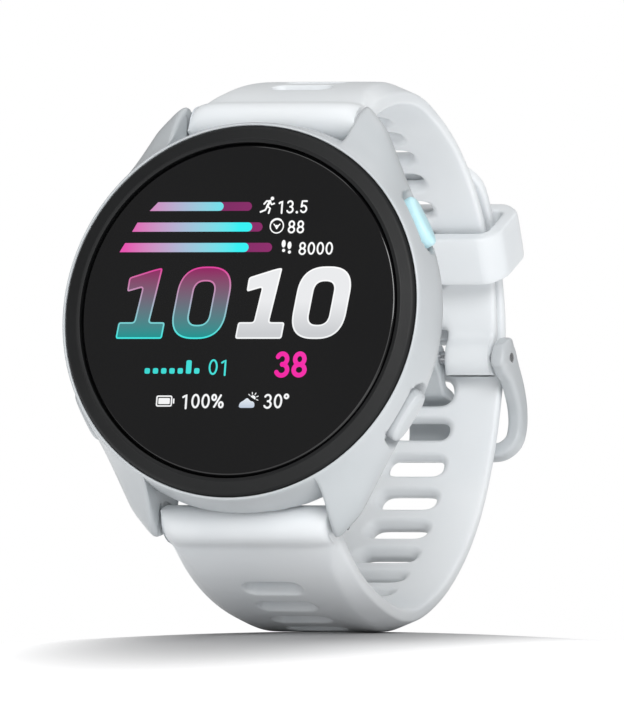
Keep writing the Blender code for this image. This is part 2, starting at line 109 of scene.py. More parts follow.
def setShader(shader, **values):
    # constants set on the shader's sockets, by short names
    names = {
        "colour": "Base Color", "rough": "Roughness", "metal": "Metallic", "ior": "IOR", "coat": "Coat Weight",
        "sheen": "Sheen Weight", "sheenRough": "Sheen Roughness", "glow": "Emission Strength",
        "glowColour": "Emission Color", "specular": "Specular IOR Level",
    }
    for key, value in values.items():
        shader.inputs[names[key]].default_value = value


def grainCoordinates(tree):
    # the place of a point in its object, in metres
    return addNode(tree, "ShaderNodeTexCoord").outputs["Object"]


def perMetre(sizeInMm):
    # noise scale whose cells are about this many millimetres wide
    return 1 / (sizeInMm * mm)


def mouldedFinish(name, facts):
    # A moulded or turned surface: a colour that drifts a little over centimetres, a roughness that
    # drifts over millimetres, and a grain in the surface of the size that the mould was eroded to.
    material, tree, shader = newMaterial(name)
    setShader(shader, colour=linear(facts["colour"]), **facts["shader"])
    place = grainCoordinates(tree)
    drift = addNode(tree, "ShaderNodeTexNoise", {"Vector": place, "Scale": perMetre(facts["driftMm"]), "Detail": 2.0})
    tones = addNode(tree, "ShaderNodeValToRGB", {"Fac": drift.outputs["Fac"]})
    tones.color_ramp.elements[0].position, tones.color_ramp.elements[1].position = 0.35, 0.68
    tones.color_ramp.elements[0].color = linear(facts["shade"])
    tones.color_ramp.elements[1].color = linear(facts["colour"])
    tree.links.new(tones.outputs["Color"], shader.inputs["Base Color"])
    wear = addNode(tree, "ShaderNodeTexNoise", {"Vector": place, "Scale": perMetre(facts["polishMm"]), "Detail": 4.0})
    low, high = facts["roughRange"]
    rough = addNode(tree, "ShaderNodeMapRange", {"Value": wear.outputs["Fac"], "To Min": low, "To Max": high})
    tree.links.new(rough.outputs["Result"], shader.inputs["Roughness"])
    grain = addNode(tree, "ShaderNodeTexNoise", {"Vector": place, "Scale": perMetre(facts["grainMm"]), "Detail": 3.0})
    bump = addNode(
        tree, "ShaderNodeBump",
        {"Height": grain.outputs["Fac"], "Strength": facts["grainStrength"], "Distance": facts["grainDepthMm"] * mm},
    )
    tree.links.new(bump.outputs["Normal"], shader.inputs["Normal"])
    return material


# glass-filled polyamide, moulded in a spark-eroded tool: white with a fine satin grain and soft highlights
whitePolymer = mouldedFinish("polyamide_moulded_white", {
    "colour": "#C2C6C9", "shade": "#BBC0C3", "driftMm": 9.0, "polishMm": 2.5, "roughRange": (0.3, 0.42),
    "grainMm": 0.16, "grainStrength": 0.25, "grainDepthMm": 0.02, "shader": {"ior": 1.53},
})
# liquid silicone rubber, moulded: cool white, a dry powdery sheen, and light that soaks in a little
whiteSilicone = mouldedFinish("silicone_moulded_white", {
    "colour": "#EAEDEF", "shade": "#E3E7EA", "driftMm": 14.0, "polishMm": 3.0, "roughRange": (0.34, 0.46),
    "grainMm": 0.22, "grainStrength": 0.22, "grainDepthMm": 0.02,
    "shader": {"ior": 1.41, "sheen": 0.12, "sheenRough": 0.4},
})
# the start button's cap, moulded in a pale blue polyamide
bluePolymer = mouldedFinish("polyamide_moulded_pale_blue", {
    "colour": "#CBEDF4", "shade": "#BEE6EF", "driftMm": 3.0, "polishMm": 1.2, "roughRange": (0.28, 0.4),
    "grainMm": 0.16, "grainStrength": 0.2, "grainDepthMm": 0.02, "shader": {"ior": 1.53},
})
# the bezel's fibre-reinforced polymer: charcoal, with a matte eroded grain that greys it at a glance
charcoalPolymer = mouldedFinish("polyamide_moulded_charcoal", {
    "colour": "#121314", "shade": "#0E0F10", "driftMm": 6.0, "polishMm": 1.5, "roughRange": (0.46, 0.58),
    "grainMm": 0.13, "grainStrength": 0.35, "grainDepthMm": 0.02, "shader": {"ior": 1.53, "specular": 0.3},
})
# chemically strengthened cover glass bonded to a dark screen: near black, with a clean gloss
coverGlass = mouldedFinish("strengthened_glass_polished", {
    "colour": "#0A0A0B", "shade": "#070708", "driftMm": 20.0, "polishMm": 12.0, "roughRange": (0.055, 0.085),
    "grainMm": 8.0, "grainStrength": 0.02, "grainDepthMm": 0.01, "shader": {"ior": 1.51},
})
# infrared-passing glass over the pulse sensor
sensorGlass = mouldedFinish("sensor_glass_polished", {
    "colour": "#0D0B0D", "shade": "#090809", "driftMm": 6.0, "polishMm": 5.0, "roughRange": (0.05, 0.1),
    "grainMm": 5.0, "grainStrength": 0.02, "grainDepthMm": 0.01, "shader": {"ior": 1.5, "coat": 0.4},
})
# stainless steel, turned then tumbled: bright grey with faint lathe marks
turnedSteel = mouldedFinish("stainless_steel_turned", {
    "colour": "#B9BABC", "shade": "#A9ABAE", "driftMm": 1.2, "polishMm": 0.5, "roughRange": (0.2, 0.34),
    "grainMm": 0.12, "grainStrength": 0.2, "grainDepthMm": 0.01, "shader": {"metal": 1.0},
})
# gold plate on the charging contacts, worn a little paler where the plug rubs
goldPlate = mouldedFinish("gold_plated_contact", {
    "colour": "#E2BC6B", "shade": "#D3A955", "driftMm": 0.6, "polishMm": 0.4, "roughRange": (0.18, 0.3),
    "grainMm": 0.1, "grainStrength": 0.1, "grainDepthMm": 0.01, "shader": {"metal": 1.0},
})
# nitrile seals, moulded matte black
blackRubber = mouldedFinish("nitrile_rubber_moulded", {
    "colour": "#1A1A1B", "shade": "#131314", "driftMm": 4.0, "polishMm": 1.0, "roughRange": (0.6, 0.75),
    "grainMm": 0.2, "grainStrength": 0.3, "grainDepthMm": 0.03, "shader": {"ior": 1.5},
})
# glass-epoxy circuit board under green solder mask
boardLaminate = mouldedFinish("glass_epoxy_laminated", {
    "colour": "#1E6B45", "shade": "#185838", "driftMm": 2.0, "polishMm": 1.0, "roughRange": (0.3, 0.45),
    "grainMm": 0.4, "grainStrength": 0.2, "grainDepthMm": 0.02, "shader": {"ior": 1.55},
})
# tin-plated steel shields and the cell's aluminium pouch, rolled
rolledTin = mouldedFinish("tin_plate_rolled", {
    "colour": "#B8B9BA", "shade": "#A8AAAC", "driftMm": 3.0, "polishMm": 1.0, "roughRange": (0.3, 0.45),
    "grainMm": 0.3, "grainStrength": 0.2, "grainDepthMm": 0.02, "shader": {"metal": 1.0},
})


def screenLight(name, low, high, start, end, strength=1.0):
    # Light of the display under the gloss of the glass, shaded evenly from one colour at a start place to
    # another at an end place, both in the case's axes: a point's share of the way is its offset from the
    # start, dotted with the way between the two over the square of that way's length.
    material, tree, shader = newMaterial(name)
    setShader(shader, colour=linear("#050505"), rough=0.08, ior=1.51, glow=strength)
    way = toWorld(end) - toWorld(start)
    reach = float(np.linalg.norm(way))
    middle = toWorld(start)
    moved = addNode(tree, "ShaderNodeVectorMath", {0: grainCoordinates(tree), 1: tuple(middle)}, operation="SUBTRACT")
    along = addNode(
        tree, "ShaderNodeVectorMath", {0: moved.outputs["Vector"], 1: tuple(way / reach**2)}, operation="DOT_PRODUCT"
    )
    shades = addNode(tree, "ShaderNodeValToRGB", {"Fac": along.outputs["Value"]})
    shades.color_ramp.elements[0].color, shades.color_ramp.elements[1].color = linear(low), linear(high)
    tree.links.new(shades.outputs["Color"], shader.inputs["Emission Color"])
    return material


print("materials made")

# meshes from grids


def gridFaces(rows, columns, wrapRows=False, wrapColumns=False):
    # the quads of a grid of points stored row by row
    i = np.arange(rows if wrapRows else rows - 1)[:, None]
    j = np.arange(columns if wrapColumns else columns - 1)[None, :]
    iNext, jNext = (i + 1) % rows, (j + 1) % columns
    quads = [i * columns + j, i * columns + jNext, iNext * columns + jNext, iNext * columns + j]
    return np.stack(np.broadcast_arrays(*quads), -1).reshape(-1, 4)


mergeWithin, collapseWithin = 0.002 * mm, 0.0005 * mm


def newPiece(name, points, faces, material, body, slotName, replaced=(), subdivisions=0, sharpAngle=None):
    # A mesh from case-axis points and faces, with its doubles merged and its normals facing out, that
    # rides on a body and stands for the named nodes.
    mesh = bpy.data.meshes.new(name)
    mesh.from_pydata(toWorld(points).tolist(), [], [list(map(int, face)) for face in faces])
    work = bmesh.new()
    work.from_mesh(mesh)
    bmesh.ops.remove_doubles(work, verts=work.verts, dist=mergeWithin)
    bmesh.ops.dissolve_degenerate(work, edges=work.edges, dist=collapseWithin)
    bmesh.ops.recalc_face_normals(work, faces=work.faces)
    work.to_mesh(mesh)
    work.free()
    mesh.shade_smooth()
    if sharpAngle:
        mesh.set_sharp_from_angle(angle=math.radians(sharpAngle))
    mesh.materials.append(material)
    piece = bpy.data.objects.new(name, mesh)
    bpy.context.scene.collection.objects.link(piece)
    if subdivisions:
        smoother = piece.modifiers.new("finer", "SUBSURF")
        smoother.levels = smoother.render_levels = subdivisions
    else:
        evener = piece.modifiers.new("flat_faces_rule", "WEIGHTED_NORMAL")
        evener.keep_sharp = True
    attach(piece, body)
    if replaced:
        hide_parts(*replaced)
    return piece


def gridPiece(name, grid, wrapRows, wrapColumns, *facts, **options):
    # a piece whose points are a grid of places
    faces = gridFaces(*grid.shape[:2], wrapRows, wrapColumns)
    return newPiece(name, grid.reshape(-1, 3), faces, *facts, **options)


def cappedPiece(name, rings, *facts, **options):
    # a piece of closed rings in a row, with a flat cap on the first and the last
    rows, columns = rings.shape[:2]
    faces = [*gridFaces(rows, columns, wrapColumns=True)]
    faces += [np.arange(columns), (rows - 1) * columns + np.arange(columns)]
    return newPiece(name, rings.reshape(-1, 3), faces, *facts, **options)


def superellipse(turn, squareness):
    # cos and sin of a turn, each keeping its sign and raised to 2 over the squareness
    return [np.sign(value) * np.abs(value) ** (2 / squareness) for value in (np.cos(turn), np.sin(turn))]


def quadsBetween(index):
    # the quads between neighbouring places of a table of point numbers
    return np.stack([index[:-1, :-1], index[:-1, 1:], index[1:, 1:], index[1:, :-1]], -1)


def wallQuads(upper, lower):
    # the quads of a wall between two lines of point numbers
    return np.stack([upper[:-1], upper[1:], lower[1:], lower[:-1]], 1)


def rounded(corners, cut, steps=6, closed=False):
    # An outline with each corner swapped for a curve: a quadratic one that leaves the outline a short
    # cut before the corner and joins it again the same distance after.
    corners = np.array(corners, float)
    back, ahead = np.roll(corners, 1, axis=0) - corners, np.roll(corners, -1, axis=0) - corners
    backLength = np.linalg.norm(back, axis=1, keepdims=True)
    aheadLength = np.linalg.norm(ahead, axis=1, keepdims=True)
    cut = np.broadcast_to(np.reshape(cut, (-1, 1)), (len(corners), 1))
    start = corners + back * np.minimum(cut, 0.47 * backLength) / backLength
    end = corners + ahead * np.minimum(cut, 0.47 * aheadLength) / aheadLength
    t = np.linspace(0, 1, steps)[None, :, None]
    curves = (1 - t) ** 2 * start[:, None] + 2 * t * (1 - t) * corners[:, None] + t**2 * end[:, None]
    if closed:
        return curves.reshape(-1, corners.shape[1])
    inner = curves[1:-1].reshape(-1, corners.shape[1])
    return np.concatenate([corners[:1], inner, corners[-1:]])


def turnedGrid(profile, sides):
    # (radius, depth) points carried round the dial's axis: across = radius cos, height = radius sin
    turn = np.linspace(0, 2 * math.pi, sides, endpoint=False)[:, None]
    radius, depth = profile[None, :, 0], profile[None, :, 1]
    return np.stack([radius * np.cos(turn), depth + 0 * turn, radius * np.sin(turn)], -1)


def turnedPiece(name, profile, sides, *facts, closed=True, **options):
    # a profile carried round the dial's axis, its last point joined to its first where it is closed
    return gridPiece(name, turnedGrid(profile, sides), True, closed, *facts, **options)


def smoothStep(value, low, high):
    # with t the share of the way from low to high, held between 0 and 1: 3 t squared less 2 t cubed
    share = np.clip((value - low) / (high - low), 0, 1)
    return share * share * (3 - 2 * share)


# case

case = {
    "lugOutline": [(20.2, 8.2), (18.3, 12.0), (16.5, 15.6), (15.0, 18.8), (13.5, 21.9), (11.5, 24.1), (10.9, 24.5),
                   (10.4, 24.1), (10.4, 23.0)],
    "ringRadius": 21.75,
    "lugRootAngle": 22.1,
    "lugTipAngle": 60.2,
    "gapAngle": 61.43,
    "barDepth": 8.0,
    "barHeight": 22.6,
    "barrelRoom": 2.6,
    "gapHalf": 10.4,
    "stepMm": 0.26,
}
buttonFacts = {
    "names": {"start_button": 30, "lap_button": -30, "light_button": 150, "up_button": 180, "down_button": 210},
    "depth": 5.2,
    "length": 6.1,
    "height": 2.8,
    "squareness": 2.5,
    "reach": 22.4,
    "seat": 20.65,
    "pocketFloor": 20.1,
    "boreRadius": 1.5,
    "boreReach": (18.0, 20.6),
    "plungerRadius": 0.8,
    "plungerEnd": 17.9,
    "sides": 72,
    "pocketLength": 7.3,
    "pocketHeight": 3.4,
}


def caseOutlines():
    # One quarter of the case seen from the front, twice over: round the plain ring, and round the ring
    # with its lug. Both have the same number of points, so a point can slide from one to the other.
    step = case["stepMm"] / case["ringRadius"]
    root, tip, gap = (math.radians(case[key]) for key in ("lugRootAngle", "lugTipAngle", "gapAngle"))
    side = np.arange(0, root, step)
    lug = rounded(case["lugOutline"], 0.9, 7)
    reach = np.concatenate([[0], np.cumsum(np.linalg.norm(np.diff(lug, axis=0), axis=1))])
    even = np.linspace(0, reach[-1], int(reach[-1] / case["stepMm"]))
    lug = np.column_stack([np.interp(even, reach, lug[:, k]) for k in (0, 1)])
    tipAt = reach[-1] - 2.2
    lugBase = np.interp(even, [0, tipAt, reach[-1]], [root, tip, gap])
    inner = np.linspace(23.0, case["ringRadius"] * math.sin(gap), 14)[1:]
    innerLug = np.column_stack([np.full(13, case["gapHalf"]), inner])
    end = np.linspace(gap, math.pi / 2, 34)[1:]
    baseAngles = np.concatenate([side, lugBase, np.full(13, gap), end])
    base = case["ringRadius"] * np.column_stack([np.cos(baseAngles), np.sin(baseAngles)])
    full = np.concatenate([base[:len(side)], lug, innerLug, base[-len(end):]])
    mirror = np.array([-1.0, 1.0])
    half = [np.concatenate([q, (q * mirror)[::-1][1:]]) for q in (base, full)]
    return [np.concatenate([h, -h[1:-1]]) for h in half]


def buttonFrame(points, angle):
    # a point's distance out along the button's axis, and its two distances from that axis
    cosine, sine = math.cos(math.radians(angle)), math.sin(math.radians(angle))
    out = points[..., 0] * cosine + points[..., 2] * sine
    sideways = -points[..., 0] * sine + points[..., 2] * cosine
    return out, sideways, points[..., 1] - buttonFacts["depth"]


def drill(piece, boreEnds, radius, sides=28):
    # round holes through a piece, each from one place to another: a cutter of closed cylinders is taken away
    # from it by a Boolean, whose result becomes the piece's own mesh
    turn = np.linspace(0, 2 * math.pi, sides, endpoint=False)
    points, faces = [], []
    for start, end in boreEnds:
        way = (end - start) / np.linalg.norm(end - start)
        first = np.cross(way, [0.0, 1.0, 0.0])
        ring = radius * (np.cos(turn)[:, None] * first + np.sin(turn)[:, None] * np.cross(way, first))
        count = len(points) * sides
        faces += (gridFaces(2, sides, wrapColumns=True) + count).tolist()
        faces += [list(range(count, count + sides)), list(range(count + 2 * sides - 1, count + sides - 1, -1))]
        points += [start + ring, end + ring]
    mesh = bpy.data.meshes.new("bores")
    mesh.from_pydata(toWorld(np.concatenate(points)).tolist(), [], faces)
    work = bmesh.new()
    work.from_mesh(mesh)
    bmesh.ops.recalc_face_normals(work, faces=work.faces)
    work.to_mesh(mesh)
    work.free()
    cutter = bpy.data.objects.new("bores", mesh)
    bpy.context.scene.collection.objects.link(cutter)
    taker = piece.modifiers.new("bores", "BOOLEAN")
    taker.object, taker.operation, taker.solver = cutter, "DIFFERENCE", "EXACT"
    piece.modifiers.move(len(piece.modifiers) - 1, 0)
    piece.modifiers["flat_faces_rule"].show_viewport = False
    bpy.context.view_layer.update()
    drilled = bpy.data.meshes.new_from_object(piece.evaluated_get(bpy.context.evaluated_depsgraph_get()))
    piece.modifiers.remove(taker)
    piece.modifiers["flat_faces_rule"].show_viewport = True
    drilled.name, whole = piece.data.name, piece.data
    piece.data = drilled
    bpy.data.objects.remove(cutter)
    bpy.data.meshes.remove(mesh)
    bpy.data.meshes.remove(whole)


def makeCase():
    # the outline at each depth is the ring's, grown to that depth's radius, moved a share of the way to the lug's
    base, full = caseOutlines()
    wall = [
        (17.9, 2.5, 0.0), (20.76, 2.5, 0.0), (20.78, 2.4, 0.0), (20.78, 0.85, 0.0), (20.83, 0.72, 0.0),
        (20.93, 0.68, 0.0), (21.04, 0.74, 0.0), (21.13, 0.9, 0.01), (21.22, 1.2, 0.03), (21.31, 1.6, 0.07),
        (21.4, 2.1, 0.14), (21.48, 2.6, 0.22), (21.55, 3.1, 0.31), (21.61, 3.55, 0.4), (21.66, 4.0, 0.49),
        (21.7, 4.45, 0.58), (21.73, 4.9, 0.67), (21.75, 5.3, 0.74), (21.75, 5.7, 0.81), (21.71, 6.1, 0.87),
        (21.64, 6.5, 0.92), (21.55, 6.8, 0.96), (21.46, 7.0, 0.985), (21.36, 7.2, 1.0), (21.24, 7.5, 1.0),
        (21.1, 7.8, 1.0),
        (20.95, 8.1, 1.0), (20.8, 8.4, 0.995), (20.63, 8.7, 0.98), (20.46, 9.0, 0.95), (20.3, 9.25, 0.91),
        (20.14, 9.45, 0.87), (19.95, 9.57, 0.8), (19.7, 9.6, 0.7), (19.3, 9.6, 0.0), (19.2, 9.5, 0.0),
        (19.2, 8.6, 0.0), (18.6, 8.6, 0.0), (18.6, 3.1, 0.0), (17.9, 3.1, 0.0),
    ]
    radius, depth, lugShare = (np.array(column)[None, :, None] for column in zip(*wall))
    flat = base[:, None] * radius / case["ringRadius"] + (full - base)[:, None] * lugShare
    points = np.stack([flat[..., 0], np.broadcast_to(depth[..., 0], flat.shape[:2]), flat[..., 1]], -1)
    fromBar = np.clip(case["barrelRoom"] ** 2 - (points[..., 1] - case["barDepth"]) ** 2, 0, None)
    limit = np.where(fromBar > 0, case["barHeight"] - np.sqrt(fromBar), 99)
    between = np.abs(points[..., 0]) < case["gapHalf"] - 0.05
    tall = between & (np.abs(points[..., 2]) > limit)
    points[..., 2] = np.where(tall, np.sign(points[..., 2]) * limit, points[..., 2])
    rim = buttonFacts["pocketHeight"] / 2
    core = buttonFacts["pocketLength"] / 2 - rim
    for angle in buttonFacts["names"].values():
        out, sideways, deep = buttonFrame(points, angle)
        away = np.hypot(np.clip(np.abs(sideways) - core, 0, None), deep)
        sunk = (1 - smoothStep(away, rim - 0.12, rim + 0.32)) * (out > 19.5)
        drop = sunk * np.clip(out - buttonFacts["pocketFloor"], 0, None)
        points[..., 0] -= drop * math.cos(math.radians(angle))
        points[..., 2] -= drop * math.sin(math.radians(angle))
    shell = gridPiece(
        "case_shell", points, True, True, whitePolymer, "case", "white_polymer", ["case_body"], sharpAngle=62
    )
    angles = [math.radians(angle) for angle in buttonFacts["names"].values()]
    ways = [np.array([math.cos(angle), 0, math.sin(angle)]) for angle in angles]
    middle = np.array([0, buttonFacts["depth"], 0])
    near, far = buttonFacts["boreReach"]
    drill(shell, [(middle + near * way, middle + far * way) for way in ways], buttonFacts["boreRadius"])


makeCase()

bezelProfile = rounded([
    (18.78, 0.06), (19.18, 0.0), (19.26, 0.05), (20.45, 0.4), (20.72, 0.72), (20.72, 2.3), (17.6, 2.3), (17.6, 1.75),
    (18.78, 1.75),
], [0.05, 0.05, 0.04, 0.2, 0.15, 0.1, 0.1, 0.1, 0.1], 5, closed=True)
turnedPiece("bezel_ring", bezelProfile, 256, charcoalPolymer, "case", "charcoal_polymer", ["bezel"])
lensProfile = rounded([(0, 0.2), (18.3, 0.2), (18.6, 0.45), (18.6, 1.3), (0, 1.3)], 0.12, 5)
turnedPiece(
    "cover_lens", lensProfile, 256, coverGlass, "case", "cover_glass", ["lens"], closed=False, sharpAngle=40
)
print("case, bezel and lens made")

# buttons


def makeButton(name, angle):
    # an oval cap with a domed face: stations of (half length, half height, distance out), each carried round a
    # superellipse, ending in the plunger that reaches the switch
    long, high = buttonFacts["length"] / 2, buttonFacts["height"] / 2
    seat, reach = buttonFacts["seat"], buttonFacts["reach"]
    plunger, inmost = buttonFacts["plungerRadius"], buttonFacts["plungerEnd"]
    dome = np.radians(np.arange(0, 91, 9))
    # the dome's edge turns from the side wall to the face: inwards by 1 - cos, outwards by sin
    inward, outward = 0.75 * (1 - np.cos(dome)), 0.55 * np.sin(dome)
    edge = np.column_stack([long - inward, high - inward, reach - 0.62 + outward])
    stations = np.concatenate([
        [(0, 0, inmost), (plunger, plunger, inmost), (plunger, plunger, seat - 0.05),
         (long - 0.2, high - 0.2, seat), (long, high, seat + 0.12)],
        edge, [(long * 0.45, high * 0.28, reach - 0.02), (0, 0, reach)],
    ])
    turn = np.linspace(0, 2 * math.pi, buttonFacts["sides"], endpoint=False)[:, None]
    acrossShare, deepShare = superellipse(turn, buttonFacts["squareness"])
    sideways = stations[None, :, 0] * acrossShare
    deep = stations[None, :, 1] * deepShare + buttonFacts["depth"]
    out = stations[None, :, 2] + 0 * turn
    cosine, sine = math.cos(math.radians(angle)), math.sin(math.radians(angle))
    points = np.stack([out * cosine - sideways * sine, deep, out * sine + sideways * cosine], -1)
    material = bluePolymer if name == "start_button" else whitePolymer
    slotName = "pale_blue_polymer" if name == "start_button" else "white_polymer"
    return gridPiece(f"{name}_cap", points, True, False, material, name, slotName, [name], sharpAngle=50)


for buttonName, buttonAngle in buttonFacts["names"].items():
    makeButton(buttonName, buttonAngle)
print("buttons made")

# strap

lowerStrap = {
    "line": [
        (8.0, -22.6), (11.6, -25.0), (16.2, -27.1), (21.3, -28.4), (26.3, -29.0), (31.3, -29.0), (36.0, -28.0),
        (40.6, -25.9), (44.6, -23.4), (48.2, -20.2), (51.2, -16.6), (53.6, -12.4), (55.3, -7.8), (56.4, -3.0),
        (56.9, 2.0), (57.0, 5.5), (56.5, 9.0), (55.2, 12.6), (52.5, 17.5), (48.8, 22.0), (44.0, 25.8),
    ],
    "slotPitch": 4.49,
    "tongueCrossing": 1.2,
    "slotsBefore": 13,
    "slotsAfter": 5,
    "tipLength": 5.0,
}
upperStrap = {
    "line": [
        (8.0, 22.6), (12.2, 25.4), (17.5, 27.5), (22.5, 28.6), (27.5, 28.8), (32.0, 28.1), (36.2, 26.9),
        (39.9, 25.3), (43.5, 23.1), (47.0, 20.2), (50.4, 16.2), (53.0, 11.8), (54.1, 8.2), (54.3, 4.9),
    ],
    "slotPitch": 4.3,
    "firstSlot": 7.7,
    "slots": 11,
    "foldRadius": 2.2,
    "notchReach": 2.9,
}
strapSection = {
    "barrelRadius": 2.25,
    "slotLength": 6.8,
    "prongRoom": 0.35,
    "slotWidth": 2.4,
    "cellHalf": 4.6,
    "wristwards": (28.0, 0.0),
    # shares of the length from the lug, and the half width and the thickness there
    "halfAt": ([0, 0.42, 1], [10.1, 9.1, 9.1]),
    "thickAt": ([0, 0.25, 0.6, 1], [2.7, 2.6, 2.1, 2.1]),
    "tipRound": 0.95,
}


def strapLine(controls):
    # A natural cubic spline through (depth, height) points, read closely, with a straight stretch added
    # before and after it. Gives the lengths along it from the first point, the places and the outward
    # normals.
    controls = np.array(controls, float)
    knots = np.concatenate([[0], np.cumsum(np.linalg.norm(np.diff(controls, axis=0), axis=1))])
    gaps, size = np.diff(knots), len(controls)
    system, right = np.eye(size), np.zeros((size, 2))
    for i in range(1, size - 1):
        system[i, i - 1:i + 2] = gaps[i - 1], 2 * (gaps[i - 1] + gaps[i]), gaps[i]
        right[i] = 6 * ((controls[i + 1] - controls[i]) / gaps[i] - (controls[i] - controls[i - 1]) / gaps[i - 1])
    bend = np.linalg.solve(system, right)
    at = np.linspace(0, knots[-1], 3000)
    i = np.clip(np.searchsorted(knots, at) - 1, 0, size - 2)
    h, before, after = gaps[i][:, None], (at - knots[i])[:, None], (knots[i + 1] - at)[:, None]
    fine = (
        bend[i] * after**3 / (6 * h) + bend[i + 1] * before**3 / (6 * h)
        + (controls[i] / h - bend[i] * h / 6) * after + (controls[i + 1] / h - bend[i + 1] * h / 6) * before
    )
    first, last = fine[0] - fine[1], fine[-1] - fine[-2]
    ends = 4.0
    fine = np.concatenate([
        [fine[0] + ends * first / np.linalg.norm(first)], fine, [fine[-1] + ends * last / np.linalg.norm(last)]
    ])
    lengths = np.concatenate([[0], np.cumsum(np.linalg.norm(np.diff(fine, axis=0), axis=1))]) - ends
    along = np.gradient(fine, lengths, axis=0)
    normal = np.column_stack([along[:, 1], -along[:, 0]])
    normal /= np.linalg.norm(normal, axis=1)[:, None]
    middle = len(fine) // 2
    if (fine[middle] - strapSection["wristwards"]) @ normal[middle] < 0:
        normal = -normal
    return lengths, fine, normal, lengths[-1] - ends


